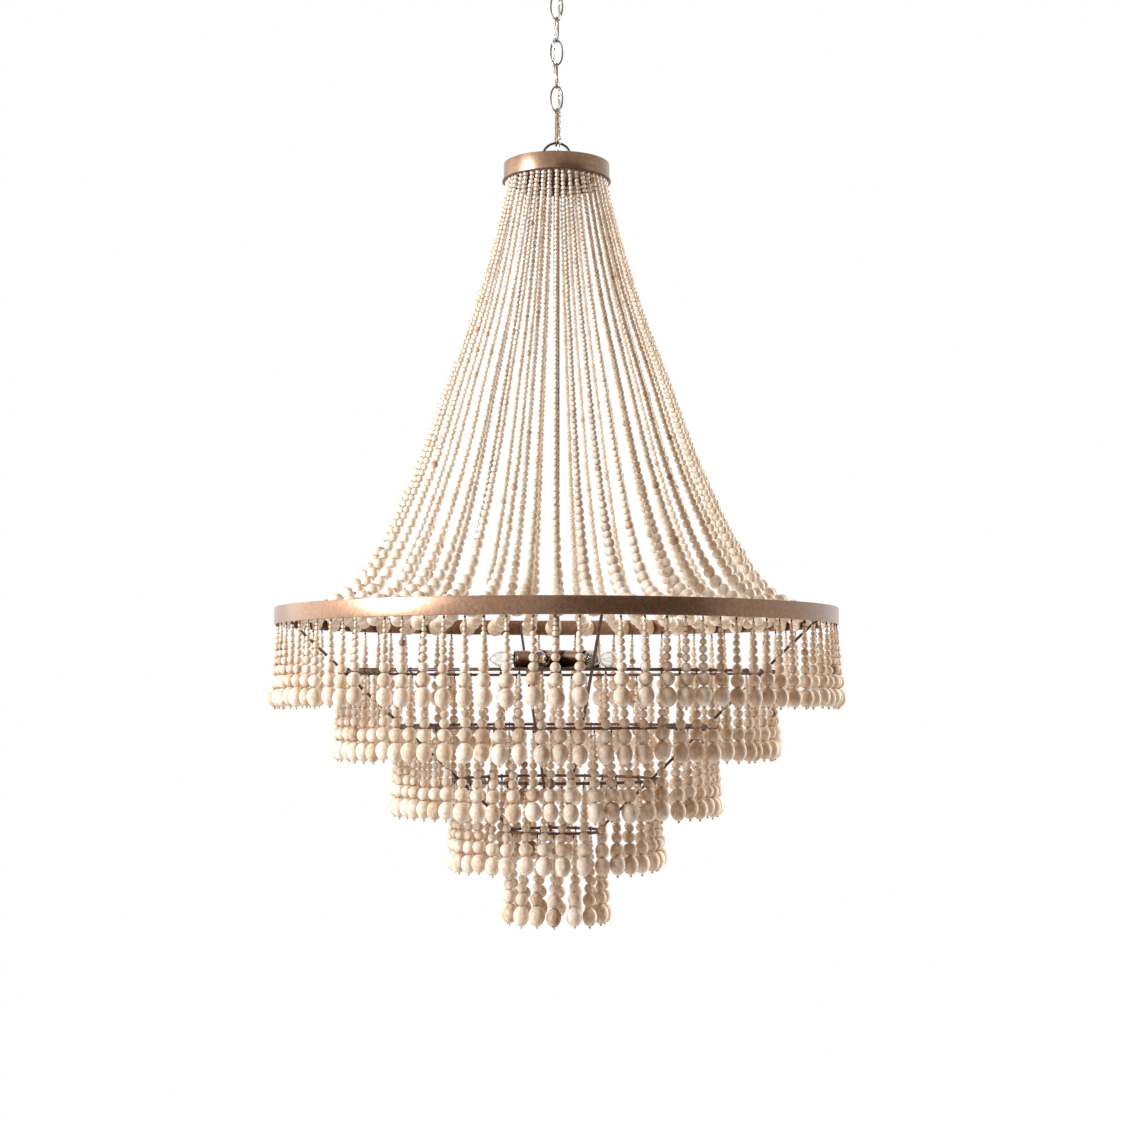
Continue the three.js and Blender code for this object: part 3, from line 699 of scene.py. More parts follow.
LINK_WIDTH, LINK_WIRE, LINK_END_RISE = 22.2, 2.9, 18.5
LONG_LINK_WIDTH, LONG_LINK_WIRE, LONG_LINK_END_RISE = 22, 3.6, 10
# Links hang a little turned from square, in degrees
LINK_TURNS = [5, -4, 15, 3, 5, -3]
LONG_LINK_TURN = 9
# The butt weld in the middle of one side is a little thicker: heights and radii
SEAM_HEIGHTS = [-1.6, -0.9, 0, 0.9, 1.6]
SEAM_RADII = [1.44, 1.65, 1.72, 1.65, 1.44]


def build_chain():
    for k in range(LINKS):
        name = f"chain_link_{k + 1}"
        low, high = bounds_of(name)
        edge_on = high.y > high.x
        turn = Matrix.Rotation(math.radians(LINK_TURNS[k]), 4, "Z")
        path = link_path(high.z - low.z, LINK_WIDTH, LINK_WIRE, LINK_END_RISE, high.z, edge_on)
        form = Form().add(*moved(swept(path, LINK_WIRE / 2, 14, True), turn))
        reach = (LINK_WIDTH - LINK_WIRE) / 2
        place = (0, reach) if edge_on else (reach, 0)
        seam = [(*place, (low.z + high.z) / 2 + z) for z in SEAM_HEIGHTS]
        form.add(*moved(swept(seam, SEAM_RADII, 14), turn))
        form.make(f"small_link_{k + 1}", CHAIN, name, "chain_metal", [name])
    low, high = bounds_of("long_link")
    path = link_path(
        high.z - low.z, LONG_LINK_WIDTH, LONG_LINK_WIRE, LONG_LINK_END_RISE, high.z, True
    )
    turn = Matrix.Rotation(math.radians(LONG_LINK_TURN), 4, "Z")
    Form().add(*moved(swept(path, LONG_LINK_WIRE / 2, 16, True), turn)).make(
        "long_link_rod", BRONZE, "long_link", "bronze", ["long_link"]
    )


build_strap()
build_nipple()
build_canopy()
build_collar()
build_chain()


# Cap and stem

BAND_THICK, BAND_EDGE, PLATE_EDGE = 3, 0.7, 0.5
LIP_INSIDE, LIP_OUTSIDE, LIP_DROP, LIP_EDGE = 2.6, 2.2, 1.8, 0.6
CAP_PLATE_HOLE, STEM_BORE = 5.35, 5.3
BOW_FOOT, BOW_STEPS = 6, 28
# Radius and height of the cone of solder at each foot of the bow
BOW_FLARE = [(NEAR_AXIS, 0), (4.6, 0), (4.4, 0.8), (3.1, 2.2), (2.35, 4), (NEAR_AXIS, 4)]
NUT_FLAT, NUT_EDGE = 8.5, 0.7
SLEEVE_BORE, SLEEVE_EDGE, GROOVE_AT = 5.4, 0.8, 7
# Depth and height of the sleeve's turned grooves
GROOVE = [(0, 1.2), (0.7, 0.6), (0.7, -0.6), (0, -1.2)]
TUBE_INSIDE, TUBE_OUTSIDE = 3.2, 5


def build_cap():
    low, high = bounds_of("cap_ring")
    section = band(high.x - BAND_THICK, high.x, high.z, low.z, BAND_EDGE)
    Form().add(*turned(section, 160)).make("cap_band", BRONZE, replaces=["cap_ring"])
    # The band's lower edge is rolled out a little, drawn in the darker paint so that it shows as a
    # dark line under the band
    lip = band(high.x - LIP_INSIDE, high.x + LIP_OUTSIDE, low.z, low.z - LIP_DROP, LIP_EDGE)
    Form().add(*turned(lip, 160)).make("cap_rolled_lip", DARK_BRONZE)

    low, high = bounds_of("cap_plate")
    section = band(CAP_PLATE_HOLE, high.x, high.z, low.z, PLATE_EDGE)
    Form().add(*turned(section, 128)).make("cap_round_plate", DARK_BRONZE, replaces=["cap_plate"])

    low, high = bounds_of("cap_loop")
    wire = (high.y - low.y) / 2
    radius = (high.x - low.x) / 2 - wire
    arc_z = high.z - wire - radius
    foot = low.z + BOW_FOOT
    turns = [math.pi * (1 - s / BOW_STEPS) for s in range(BOW_STEPS + 1)]
    path = [(-radius, 0, low.z), (-radius, 0, foot)]
    path += [(radius * math.cos(a), 0, arc_z + radius * math.sin(a)) for a in turns]
    path += [(radius, 0, foot), (radius, 0, low.z)]
    form = Form().add(*swept(path, wire, 14))
    for side in (-1, 1):
        flare = turned(raised(BOW_FLARE, low.z), 24, False)
        form.add(*moved(flare, Matrix.Translation((side * radius, 0, 0))))
    form.make("cap_bow", DARK_BRONZE, replaces=["cap_loop"])

    low, high = bounds_of("cap_nut")
    block = hexagonal_block(NUT_FLAT, high.z, low.z, STEM_BORE, NUT_EDGE)
    Form().add(*block).make("stem_nut", DARK_BRONZE, replaces=["cap_nut"])

    low, high = bounds_of("cap_collar")
    outer, eased = high.y, high.y - SLEEVE_EDGE
    outline = [(SLEEVE_BORE, high.z), (eased, high.z), (outer, high.z - SLEEVE_EDGE)]
    for z in (high.z - GROOVE_AT, low.z + GROOVE_AT):
        outline += [(outer - depth, z + rise) for depth, rise in GROOVE]
    outline += [(outer, low.z + SLEEVE_EDGE), (eased, low.z), (SLEEVE_BORE, low.z)]
    form = Form().add(*turned(outline[::-1], 40))
    form.make("stem_sleeve", DARK_BRONZE, replaces=["cap_collar"])

    low, high = bounds_of("centre_stem")
    section = band(TUBE_INSIDE, TUBE_OUTSIDE, high.z, low.z, PLATE_EDGE)
    Form().add(*turned(section, 40)).make("stem_tube", STEM_STEEL, replaces=["centre_stem"])


# Rings, ribs and cross

RING_WIRE, RING_STEPS = 2.5, 180
RING_RADII = {
    "tier_ring_2": 352.04,
    "tier_ring_3": 259.0,
    "tier_ring_4": 165.51,
    "tier_ring_5": 76.49,
}
# The first row hangs just inside the main band
BAND_TO_STRAND = 3.7
RIBS = 4
RIB_TURN = math.radians(-81.2)
RIB_RADIUS, RIB_GAP, RIB_END_RADIUS, RIB_END, RIB_EASE = 2.4, 0.3, 1.9, 1.6, 2.2
# A small weld joins each rib to each ring that it passes: radius and height
RIB_WELD_OUT = 2.6
RIB_WELD = [
    (NEAR_AXIS, -2.2), (1.5, -1.8), (2.6, -0.6), (2.5, 0.6), (1.5, 1.8), (NEAR_AXIS, 2.2)
]
CROSS_WIDE, CROSS_EDGE, CROSS_SHORTER, CROSS_PLATE_RADIUS = 6, 0.6, 2.7, 97
# The finial as shares of its radius and height
FINIAL_SHARES = [
    (0.05, 0), (0.55, 0), (0.62, 0.06), (1, 0.12), (1.02, 0.3), (0.85, 0.42),
    (0.62, 0.5), (0.6, 0.58), (0.84, 0.66), (0.98, 0.8), (0.9, 0.92), (0.55, 1),
]
FINIAL_FIT = 0.98


def ring_places():
    """Each row's ring: its node, the radius its strands hang at and the height of its wire."""
    low, high = bounds_of("main_ring")
    made = [("main_ring", high.x - BAND_TO_STRAND, low.z)]
    for node, radius in RING_RADII.items():
        low, high = bounds_of(node)
        made.append((node, radius, (low.z + high.z) / 2))
    return made


def build_rings():
    low, high = bounds_of("main_ring")
    section = band(high.x - BAND_THICK, high.x, high.z, low.z, BAND_EDGE)
    Form().add(*turned(section, 360)).make("main_band", BRONZE, replaces=["main_ring"])
    for node, radius, z in ring_places()[1:]:
        path = [around(radius, s / RING_STEPS * FULL, z) for s in range(RING_STEPS)]
        Form().add(*swept(path, RING_WIRE, 12, True)).make(
            node.replace("tier", "row") + "_wire", DARK_BRONZE, replaces=[node]
        )


def build_ribs():
    rings = ring_places()[1:]
    (_, top_radius, top_z), (_, bottom_radius, bottom_z) = rings[0], rings[-1]
    slope = (top_radius - bottom_radius) / (top_z - bottom_z)
    lean = math.sqrt(1 + slope * slope)
    offset = (RING_WIRE + RIB_RADIUS + RIB_GAP) * lean

    def reach_at(z):
        return top_radius - offset + (z - top_z) * slope

    for rib in range(RIBS):
        node = f"rib_{rib + 1}"
        low, high = bounds_of(node)
        turn = RIB_TURN + rib * FULL / RIBS
        heights = [low.z + RIB_END, low.z + RIB_EASE, high.z - RIB_EASE, high.z - RIB_END]
        radii = [RIB_END_RADIUS, RIB_RADIUS, RIB_RADIUS, RIB_END_RADIUS]
        form = Form().add(*swept([around(reach_at(z), turn, z) for z in heights], radii, 12))
        for _, _, z in rings:
            spot = Vector(around(reach_at(z) + RIB_WELD_OUT * lean, turn, z))
            form.add(*moved(turned(RIB_WELD, 12, False), Matrix.Translation(spot)))
        form.make(f"frame_rod_{rib + 1}", DARK_BRONZE, replaces=[node])

    low, high = bounds_of("cross_bars")
    middle = (0, 0, (low.z + high.z) / 2)
    length = 2 * (reach_at(low.z) - CROSS_SHORTER * lean)
    form = Form()
    for bar in range(2):
        turn = RIB_TURN + bar * FULL / RIBS
        form.add(*flat_bar(length, CROSS_WIDE, high.z - low.z, middle, CROSS_EDGE, turn))
    plate = band(STEM_BORE, CROSS_PLATE_RADIUS, high.z, low.z, PLATE_EDGE)
    form.add(*turned(plate, 96))
    form.make("crossed_flat_bars", DARK_BRONZE, replaces=["cross_bars"])

    low, high = bounds_of("hub_finial")
    height = high.z - low.z
    outline = [(r * high.x * FINIAL_FIT, high.z - height * (1 - t)) for r, t in FINIAL_SHARES]
    Form().add(*turned(outline + [(NEAR_AXIS, high.z)], 40, False)).make(
        "turned_finial", DARK_BRONZE, replaces=["hub_finial"]
    )


build_cap()
build_rings()
build_ribs()


# Lamps

LAMPS = 6
SOCKET_TURN = math.radians(10)
HUB_FLAT, HUB_EDGE, CUP_GAP, CUP_LENGTH = 25, 1.2, 0.3, 44
# Along a cup's own axis, from the hub: where its closed end and its mouth are
CUP_END = HUB_FLAT + CUP_GAP
MOUTH = CUP_END + CUP_LENGTH
# Radius and distance along the axis, from the cup's end or from its mouth
CUP_OUTER_END = [(NEAR_AXIS, 0), (10.5, 0), (13.2, 1.4), (14, 4)]
CUP_LIP = [
    (14, -3.4), (13.5, -2.8), (13.5, -2.2), (14, -1.6), (14, -0.4), (13.6, 0), (12.8, 0)
]
CUP_INNER_END = [(12.8, 4.5), (10, 3), (NEAR_AXIS, 3)]
HOLDER_END = [(NEAR_AXIS, 3.2), (9.4, 3.2)]
HOLDER_FRONT = [(9.4, -15), (8.6, -13.8), (7.2, -13.8), (7.2, -25), (NEAR_AXIS, -25)]
SCREW_TIP = [(NEAR_AXIS, -25.8), (2.6, -25.8), (4.2, -24.4)]
SCREW_TURNS, SCREW_PITCH, SCREW_START, SCREW_ROOT, SCREW_CREST = 7, 2.4, -23.4, 5.4, 6.0
SCREW_COLLAR = [(5.6, -5.4), (6.1, -4.4), (6.1, -2.2), (NEAR_AXIS, -2.2)]
BULB_OUTLINE = [
    (5.6, -3.2), (5.9, -1), (7.2, 2.4), (9.6, 6.4), (11.9, 10.6), (13.2, 15), (13.5, 19),
    (12.9, 23.6), (11.2, 28.4), (8.4, 33), (5.2, 37), (2.4, 40), (0.6, 41.6), (0.05, 41.9),
]
GLASS_WALL, BULB_TIP_RADIUS, INNER_TIP, NECK_EDGE, NECK_INSIDE = 0.7, 3, 0.04, 0.1, -3
POLE = [(NEAR_AXIS, -3), (2.2, -3), (1.6, 4), (1.1, 12), (NEAR_AXIS, 13)]
# The leads' distance from the axis and along it, then the filament that joins their ends
LEAD, LEAD_RADIUS = [(0.8, 9), (2.6, 15), (3.4, 22)], 0.25
COIL_HALF, COIL_FOOT, COIL_RISE, COIL_RADIUS, COIL_STEPS = 3.4, 22, 6, 0.2, 40
COIL_WAVE, COIL_WAVES = 0.7, 4


def bulb_shell():
    """The glass wall of a bulb, open at its neck."""
    curve = through([(r, 0, MOUTH + z) for r, z in BULB_OUTLINE], 3)
    outside = [(max(p.x, NEAR_AXIS), p.z) for p in curve]
    # The inner face starts just above the neck's edge and closes inside the tip
    inside = [(outside[0][0] - GLASS_WALL, outside[0][1] + NECK_EDGE)]
    inside += [
        (max(r - GLASS_WALL, INNER_TIP), z - (GLASS_WALL if r < BULB_TIP_RADIUS else 0))
        for r, z in outside
        if z > MOUTH + NECK_INSIDE
    ][1:]
    return turned(outside + inside[::-1], 40)


def build_lamps():
    low, high = bounds_of("lamp_hub")
    axis_z = (low.z + high.z) / 2
    hub = hexagonal_block(HUB_FLAT, high.z, low.z, STEM_BORE, HUB_EDGE, SOCKET_TURN)
    Form().add(*hub).make("hexagonal_hub", BRONZE, replaces=["lamp_hub"], sharp=25)
    cup = raised(CUP_OUTER_END, CUP_END) + raised(CUP_LIP, MOUTH) + raised(CUP_INNER_END, CUP_END)
    holder = raised(HOLDER_END, CUP_END) + raised(HOLDER_FRONT, MOUTH)
    screw = raised(SCREW_TIP, MOUTH)
    for turn in range(SCREW_TURNS):
        z = MOUTH + SCREW_START + turn * SCREW_PITCH
        screw += [(SCREW_ROOT, z), (SCREW_CREST, z + SCREW_PITCH / 2)]
    screw += raised(SCREW_COLLAR, MOUTH)
    shell = bulb_shell()
    across = [i / COIL_STEPS * 2 * COIL_HALF - COIL_HALF for i in range(COIL_STEPS + 1)]
    coil = [
        (
            x,
            COIL_WAVE * math.sin(x * COIL_WAVES),
            MOUTH + COIL_FOOT + COIL_RISE * math.cos(x / COIL_HALF * math.pi / 2),
        )
        for x in across
    ]
    for k in range(LAMPS):
        turn = SOCKET_TURN + k * FULL / LAMPS
        aim = (
            Matrix.Translation((0, 0, axis_z))
            @ Matrix.Rotation(turn, 4, "Z")
            @ Matrix.Rotation(math.pi / 2, 4, "Y")
        )
        number = k + 1
        form = Form().add(*moved(turned(cup, 48, False), aim))
        form.make(f"lamp_cup_{number}", BRONZE, replaces=[f"socket_cup_{number}"], sharp=30)
        form = Form().add(*moved(turned(holder, 32, False), aim))
        form.make(f"lamp_holder_{number}", CERAMIC, slot="plated_steel")
        form = Form().add(*moved(turned(screw, 32, False), aim))
        form.make(f"bulb_cap_{number}", CAP_BRASS, slot="plated_steel", sharp=60)
        form = Form().add(*moved(shell, aim))
        form.make(f"bulb_{number}_glass", GLASS, slot="bulb_glass", replaces=[f"bulb_{number}"])
        form = Form().add(*moved(turned(raised(POLE, MOUTH), 16, False), aim))
        form.make(f"bulb_{number}_pole", GLASS, slot="bulb_glass")
        wires = Form()
        for side in (-1, 1):
            lead = through([(side * x, 0, MOUTH + z) for x, z in LEAD], 4)
            wires.add(*moved(swept(lead, LEAD_RADIUS, 6), aim))
        wires.add(*moved(swept(coil, COIL_RADIUS, 6), aim))
        wires.make(f"bulb_{number}_filament", TUNGSTEN, slot="plated_steel")


build_lamps()


# Beads

# Bead sizes from the top of a hanging strand to its end, after the small extra ones
ROW_BEADS = [6.5, 7.5, 9, 10.5, 11.5, 12.5, 15, 20.5, 24]
EXTRA_BEAD, ROW_EXTRA = 5, [1, 1, 2, 2, 2]
ROW_STRANDS = [84, 72, 56, 36, 16]
ROW_GROUPS = [4, 4, 2, 2, 1]
ROW_SEED, SWAG_SEED = 100, 900
HOOK_LENGTH, HOOK_WIDTH, HOOK_WIRE, HOOK_GAP = 4.6, 3.8, 1.2, 0.3
STOP_BEAD, STOP_TONE, STOP_PIN = 4, 0.15, 0.4
WIRE = 0.6
# A wire eye goes round the ring with this gap, or a knot sits this high on the band's inner face
EYE_GAP, EYE_STEPS = 0.3, 14
KNOT_RISE, KNOT_WIRE = 6, 0.8
KNOT = [(NEAR_AXIS, -1.2), (1.0, -0.9), (1.3, 0), (1.0, 0.9), (NEAR_AXIS, 1.2)]
# How light beads are: the share of brown ones among small and large beads, and the spreads
SMALL_BEAD, FEW_BROWN, SOME_BROWN = 10, 0.012, 0.02
BROWN_TONES, TONE, TONE_SPREAD = (0, 0.16), 0.33, 0.05
# Painted shade and painted light: the hanging rows' beads are drawn darker and the swags' beads
# lighter
ROW_PAINTED_SHADE, SWAG_PAINTED_LIGHT = 0.09, 0.02
# Hand-turned beads differ: how egg-shaped, how tilted and how far off the string they are
EGG, TILT, STOP_TILT, DISC_TILT = (-0.1, 0.04), 0.05, 0.1, 0.06
ROW_NUDGE, SWAG_NUDGE, GRAIN_SHIFT = 0.25, 0.2, (0, 400)
ROW_SIZES, ROW_HEIGHTS = (0.93, 1.04), (0.9, 1.0)
SWAG_SIZES, SWAG_HEIGHTS = (0.9, 1.08), (0.9, 1.02)
# How unevenly the strands hang: hooks' turn, top, end height, sideways, outwards and at most
HOOK_TURNS, TOP_SPREAD, LIFT, SIDEWAYS = (-0.7, 0.7), 0.4, 1.7, (-0.8, 0.8)
OUTWARDS, MOST_OUTWARDS = (3, 1.5), 5
SAG, SAG_DOWN_SHARE, SWAY = 3.5, 0.6, 3
CLOSEST, LEAST_SHARE = 25.5, 0.3
# How far the nearest strands stay from a rib, after it and before it, row by row
RIB_ROOM = [(23, 36), (19, 20), (18, 18), (17, 17), (16, 16)]
# The largest beads are longer than they are wide
LONG_BEADS_FROM, END_STRETCH, WIDEST = 22, 1.18, 1.04
# Bead size along a swag, by the distance from its top
SWAG_AT = [0, 390, 590, 690, 740, 790, 850]
SWAG_BEADS = [7.7, 8.7, 12, 16.5, 20.5, 24.5, 26.5]
SWAG_OUT_SHARES = [0, 0.136, 0.293, 0.4245, 0.595, 0.721, 0.854, 1]
SWAG_DOWN_SHARES = [0, 0.262, 0.4845, 0.668, 0.85, 0.941, 0.983, 1]
SWAG_COUNT, SWAG_GROUPS = 48, 4
SWAG_TURN = RIB_TURN + math.radians(2.4)
SWAG_TOP_RADIUS, SWAG_TOP_Z = 80.8, -415.3
# Where a swag ends: from the band's inner face and from its top
SWAG_END_GAP, SWAG_END_DROP = 0.5, 14.5
# How far a swag may be off its place at its two ends
SWAG_TOP_SLACK, SWAG_END_SLACK = 1.6, 7
# Inside the cap the swags go straight up to a flat hoop under its plate
SWAG_START_Z, SWAG_TAIL, SWAG_FIRST = -402, 2.2, 1.0
# A swag's line has this many points from share to share, and its wire takes one in so many. A
# bead's direction is read from this far before its middle to as far after
SWAG_STEPS, WIRE_EVERY, SWAG_LOOK = 24, 4, 2
SWAG_DISC, SWAG_DISC_THICK, SWAG_DISC_LEAN = 31, 14, 0.12
HOOP_WIDTH, HOOP_THICK, HOOP_TOP, HOOP_OUTER, HOOP_EDGE = 5.6, 2, -399.8, 84.4, 0.5
# Each quarter of the hoop ends just short of the next
HOOP_STEPS, HOOP_START, HOOP_SPAN = 41, 0.1, 40.2


def bead_form(sides, steps, bore, inset=0.86):
    """A unit bead turned round its bore, as points and faces."""
    edge = math.asin(bore)
    angles = [edge + (math.pi - 2 * edge) * i / (steps - 1) for i in range(steps)]
    outline = [(math.sin(a), math.cos(a)) for a in angles]
    depth = math.cos(edge) * inset
    outline += [(bore * inset, -depth), (bore * inset, depth)]
    return turned(outline[::-1], sides)


# The size up to which each form is used: larger beads have more faces and a finer bore
BEAD_FORMS = [
    (9, bead_form(10, 7, 0.3)),
    (15, bead_form(14, 9, 0.22)),
    (99, bead_form(22, 13, 0.13)),
]


def nudge(dice, amount):
    """A small move in a random direction."""
    return Vector([dice.gauss(0, amount) for _ in range(3)])


def add_bead(form, centre, along, size, height, dice, tone_and_painted_light):
    """One bead, size across and height along its hole, whose direction is along."""
    points, faces = next(shape for limit, shape in BEAD_FORMS if size < limit)
    spin = Matrix.Rotation(dice.random() * FULL, 3, "Z")
    turn = UP.rotation_difference(along).to_matrix() @ spin
    egg = 1 + points[:, 2:] * dice.uniform(*EGG)
    widths = np.array([size / 2, size / 2, height / 2])
    local = points * widths * np.hstack([egg, egg, np.ones_like(egg)])
    placed = local @ np.array(turn).T + np.array(centre)
    shift = np.array([dice.uniform(*GRAIN_SHIFT) for _ in range(3)])
    form.add(placed, faces, local + shift, np.full(len(points), tone_and_painted_light))


def bead_tone(dice, size):
    """How light a bead is: most are alike, a few are brown, fewer among the small ones."""
    if dice.random() < (FEW_BROWN if size < SMALL_BEAD else SOME_BROWN):
        return dice.uniform(*BROWN_TONES)
    return dice.gauss(TONE, TONE_SPREAD)


def tilted(along, dice, amount):
    """A direction turned by a few degrees at random."""
    return (along + nudge(dice, amount)).normalized()


def hang_strand(beads, wires, top, bottom, sizes, dice, ring_radius):
    """A short strand under its hook: beads in order from top to bottom, then a stop bead."""
    drop = bottom - top
    along = drop.normalized()
    room = drop.length - HOOK_LENGTH - STOP_BEAD
    heights = [
        s * (END_STRETCH if s > LONG_BEADS_FROM else dice.uniform(*ROW_HEIGHTS)) for s in sizes
    ]
    scale = room / sum(heights)
    at = HOOK_LENGTH
    for size, height in zip(sizes, heights):
        size, height = size * min(scale, WIDEST), height * scale
        at += height / 2
        centre = top + along * at + nudge(dice, ROW_NUDGE)
        # Painted shade: the hanging rows' beads are drawn darker
        tone_and_painted_light = bead_tone(dice, size) - ROW_PAINTED_SHADE
        add_bead(beads, centre, tilted(along, dice, TILT), size, height, dice, tone_and_painted_light)
        at += height / 2
    stop = bottom - along * (STOP_BEAD / 2 + STOP_PIN)
    add_bead(beads, stop, tilted(along, dice, STOP_TILT), STOP_BEAD, STOP_BEAD, dice, STOP_TONE)
    wires.add(*swept([top - along, top + along * drop.length / 2, bottom - along], WIRE, 6))
    turn = math.atan2(top.y, top.x)
    oval = link_path(HOOK_LENGTH, HOOK_WIDTH, HOOK_WIRE, HOOK_WIDTH / 2, 0, True, 7)
    spin = Matrix.Rotation(turn + dice.uniform(*HOOK_TURNS), 4, "Z")
    wires.add(*moved(swept(oval, HOOK_WIRE / 2, 6, True), Matrix.Translation(top) @ spin))
    if ring_radius:
        eye = ring_radius + WIRE + EYE_GAP
        middle = top + UP * (eye - WIRE)
        out = Vector(around(1, turn, 0))
        turns = [s / EYE_STEPS * FULL for s in range(EYE_STEPS)]
        path = [middle + eye * (math.cos(a) * out + math.sin(a) * UP) for a in turns]
        wires.add(*swept(path, WIRE, 6, True))
    else:
        peak = top + UP * KNOT_RISE
        wires.add(*swept([top - UP, peak], KNOT_WIRE, 6))
        wires.add(*moved(turned(KNOT, 10, False), Matrix.Translation(peak)))


def uneven_turns(start, count, reach, room, dice):
    """Places for the strands between two ribs: crowded here and there, but never too close."""
    least = CLOSEST / reach
    after, before = room
    shares = [dice.expovariate(1) + LEAST_SHARE for _ in range(count - 1)]
    spare = (FULL / RIBS - (after + before) / reach - (count - 1) * least) / sum(shares)
    turns = [start + after / reach]
    for share in shares:
        turns.append(turns[-1] + least + spare * share)
    return turns


def build_rows():
    for row, (_, radius, ring_z) in enumerate(ring_places()):
        groups, per_quarter = ROW_GROUPS[row], ROW_STRANDS[row] // RIBS
        ring = RING_WIRE if row else 0
        for group in range(groups):
            ending = f"_{group + 1}" if groups > 1 else ""
            cad = f"tier_{row + 1}_strands{ending}"
            low, _ = bounds_of(cad)
            dice = random.Random(ROW_SEED * row + group)
            beads, wires = Form(), Form()
            turns = []
            for quarter in range(RIBS // groups * group, RIBS // groups * (group + 1)):
                start = RIB_TURN + quarter * FULL / RIBS
                turns += uneven_turns(start, per_quarter, radius, RIB_ROOM[row], dice)
            for turn in turns:
                out = Vector(around(1, turn, 0))
                side = Vector((-out.y, out.x, 0))
                top = out * (radius + dice.gauss(0, TOP_SPREAD)) + UP * (ring_z - ring - HOOK_GAP)
                bottom = Vector((top.x, top.y, low.z + abs(dice.gauss(0, LIFT))))
                aside = side * dice.uniform(*SIDEWAYS)
                bottom += aside + out * min(dice.gauss(*OUTWARDS), MOST_OUTWARDS)
                sizes = [EXTRA_BEAD] * ROW_EXTRA[row] + ROW_BEADS
                sizes = [s * dice.uniform(*ROW_SIZES) for s in sizes]
                hang_strand(beads, wires, top, bottom, sizes, dice, ring)
            name = f"row_{row + 1}_beads{ending}"
            beads.make(name, WOOD, slot="bead_wood", replaces=[cad], sharp=None)
            wires.make(f"row_{row + 1}_wires{ending}", DARK_BRONZE, sharp=None)


def swag_line(turn, dice):
    """The path of one swag from the cap down and out to the main ring."""
    _, band_high = bounds_of("main_ring")
    end_radius = band_high.x - BAND_THICK - SWAG_END_GAP - SWAG_DISC_THICK / 2
    end_z = band_high.z - SWAG_END_DROP
    sag, sway = dice.gauss(0, SAG), dice.gauss(0, SWAY)
    end_turn = turn + dice.uniform(-SWAG_END_SLACK, SWAG_END_SLACK) / end_radius
    turn += dice.uniform(-SWAG_TOP_SLACK, SWAG_TOP_SLACK) / SWAG_TOP_RADIUS
    points = [around(SWAG_TOP_RADIUS, turn, SWAG_START_Z)]
    for out_share, down_share in zip(SWAG_OUT_SHARES, SWAG_DOWN_SHARES):
        bulge = math.sin(math.pi * out_share)
        reach = SWAG_TOP_RADIUS + out_share * (end_radius - SWAG_TOP_RADIUS) - sag * bulge
        z = SWAG_TOP_Z + down_share * (end_z - SWAG_TOP_Z) - sag * bulge * SAG_DOWN_SHARE
        a = turn + (end_turn - turn) * out_share + sway * bulge / reach
        points.append(around(reach, a, z))
    return through(points, SWAG_STEPS)


def string_swag(beads, wires, line, dice):
    """One swag: beads strung along its line, then a thick disc that lies against the band."""
    runs = [0.0]
    for a, b in zip(line, line[1:]):
        runs.append(runs[-1] + (b - a).length)
    axes = [[p[i] for p in line] for i in range(3)]

    def at(run):
        return Vector([float(np.interp(run, runs, axis)) for axis in axes])

    last = runs[-1]
    run = SWAG_FIRST
    while True:
        size = float(np.interp(run, SWAG_AT, SWAG_BEADS)) * dice.uniform(*SWAG_SIZES)
        height = size * dice.uniform(*SWAG_HEIGHTS)
        if run + height > last - SWAG_DISC_THICK / 2:
            break
        middle = run + height / 2
        along = (at(middle + SWAG_LOOK) - at(middle - SWAG_LOOK)).normalized()
        centre = at(middle) + nudge(dice, SWAG_NUDGE)
        # Painted light: the swags' beads are drawn lighter
        tone_and_painted_light = bead_tone(dice, size) + SWAG_PAINTED_LIGHT
        add_bead(beads, centre, tilted(-along, dice, TILT), size, height, dice, tone_and_painted_light)
        run += height
    out = Vector((at(last).x, at(last).y, 0)).normalized()
    facing = tilted((out + UP * SWAG_DISC_LEAN).normalized(), dice, DISC_TILT)
    tone_and_painted_light = bead_tone(dice, SWAG_DISC)
    add_bead(beads, at(last), facing, SWAG_DISC, SWAG_DISC_THICK, dice, tone_and_painted_light)
    wires.add(*swept(line[::WIRE_EVERY] + [line[-1]], WIRE, 5))
    wires.add(*swept([line[0], line[0] + UP * SWAG_TAIL], WIRE, 6))


def hoop_quarter(group):
    """A quarter of the flat hoop under the cap's plate, which the swags hang from."""
    inner, under = HOOP_OUTER - HOOP_WIDTH, HOOP_TOP - HOOP_THICK
    section = band(inner, HOOP_OUTER, HOOP_TOP, under, HOOP_EDGE)
    turns = [
        RIB_TURN + (group + (s + HOOP_START) / HOOP_SPAN) * FULL / SWAG_GROUPS
        for s in range(HOOP_STEPS)
    ]
    return skin([[around(r, a, z) for r, z in section[::-1]] for a in turns], False)


def build_swags():
    per_group = SWAG_COUNT // SWAG_GROUPS
    for group in range(SWAG_GROUPS):
        dice = random.Random(SWAG_SEED + group)
        beads, wires = Form(), Form()
        for strand in range(per_group):
            turn = SWAG_TURN + (group * per_group + strand + 0.5) * FULL / SWAG_COUNT
            string_swag(beads, wires, swag_line(turn, dice), dice)
        wires.add(*hoop_quarter(group))
        cad = f"swag_strands_{group + 1}"
        name = f"swag_beads_{group + 1}"
        beads.make(name, WOOD, slot="bead_wood", replaces=[cad], sharp=None)
        wires.make(f"swag_wires_{group + 1}", DARK_BRONZE, sharp=None)


build_rows()
build_swags()


# Floor, light and background

FLOOR_Z, FLOOR_RADIUS, FLOOR_THICK = -4000, 3000, 20
WALL_SIZE, WALL_EDGE = (6000, 60, 3400), 5
WALL_PLACE, WALL_TURN = (2500, -4330, -900), math.radians(30)
LAMP_TARGET = (0, 0, -1050)
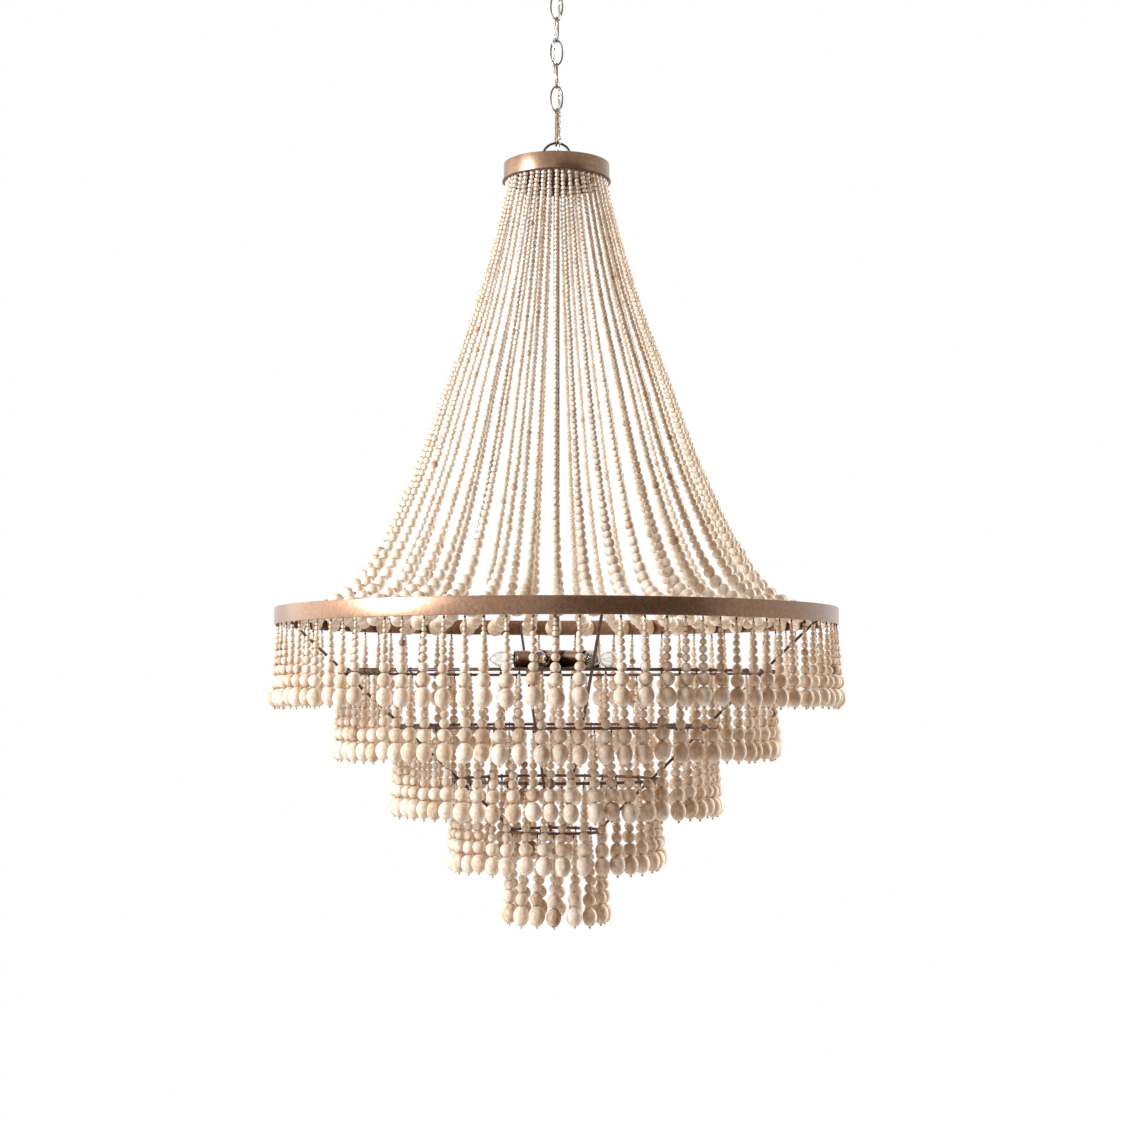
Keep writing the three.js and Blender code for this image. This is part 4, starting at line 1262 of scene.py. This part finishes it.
# Each lamp's place, width, power and colour. The last gives metal no bright spot
WINDOWS = [
    ("window", (-3600, -1750, -300), 1600, 360, "#e0eeff", True),
    ("side_window", (-3700, 1300, -500), 3200, 40, "#fff6ea", True),
    ("far_window", (3300, 1900, -300), 2200, 580, "#dbeaff", False),
]
ROOM_COLOUR, ROOM_STRENGTH = "#f4d3b8", 0.42


def add_window(name, place, width, power, code, mirrored):
    """A soft round lamp that faces the chandelier, with or without its own reflection."""
    lamp = bpy.data.lights.new(name, "AREA")
    lamp.shape = "DISK"
    lamp.size = width * MM
    lamp.energy = power
    lamp.color = colour(code)[:3]
    holder = bpy.data.objects.new(name, lamp)
    holder.location = Vector(place) * MM
    aim = Vector(LAMP_TARGET) - Vector(place)
    holder.rotation_euler = aim.to_track_quat("-Z", "Y").to_euler()
    holder.visible_glossy = mirrored
    scene.collection.objects.link(holder)


def light_room():
    """White to the camera, in reflections and through glass; softer as a source of light."""
    world = bpy.data.worlds.new("room")
    scene.world = world
    world.use_nodes = True
    tree = world.node_tree
    tree.nodes.clear()
    path = add_node(tree, "ShaderNodeLightPath")
    seen = add_node(
        tree,
        "ShaderNodeMath",
        {0: path.outputs["Is Camera Ray"], 1: path.outputs["Is Glossy Ray"]},
        operation="MAXIMUM",
    )
    white = add_node(
        tree,
        "ShaderNodeMath",
        {0: seen.outputs[0], 1: path.outputs["Is Transmission Ray"]},
        operation="MAXIMUM",
    )
    lit = add_node(
        tree,
        "ShaderNodeBackground",
        values={"Color": colour(ROOM_COLOUR), "Strength": ROOM_STRENGTH},
    )
    plain = add_node(
        tree, "ShaderNodeBackground", values={"Color": colour("#ffffff"), "Strength": 1.0}
    )
    mix = add_node(
        tree,
        "ShaderNodeMixShader",
        {0: white.outputs[0], 1: lit.outputs[0], 2: plain.outputs[0]},
    )
    add_node(tree, "ShaderNodeOutputWorld", {"Surface": mix.outputs[0]})


def build_floor():
    """A pale painted floor far below, round and out of the camera's view."""
    stops = [(0.3, "#f1f0ee"), (0.7, "#f4f3f1")]
    paint = cloudy_coat("painted_floor", rough=0.6, patch=400, stops=stops)
    under = FLOOR_Z - FLOOR_THICK
    outline = [
        (NEAR_AXIS, under), (FLOOR_RADIUS, under), (FLOOR_RADIUS, FLOOR_Z), (NEAR_AXIS, FLOOR_Z)
    ]
    floor = Form().add(*turned(outline, 96, False)).make("floor", paint, None, None)


def build_dark_wall():
    """The unlit side of the room behind the camera, which the metal mirrors."""
    stops = [(0.3, "#45403c"), (0.7, "#4c4642")]
    paint = cloudy_coat("matt_dark_wall", rough=0.9, patch=700, stops=stops)
    shape = flat_bar(*WALL_SIZE, WALL_PLACE, WALL_EDGE, WALL_TURN)
    wall = Form().add(*shape).make("dark_wall", paint, None, None)
    wall.visible_camera = False


for settings in WINDOWS:
    add_window(*settings)
light_room()
build_floor()
build_dark_wall()
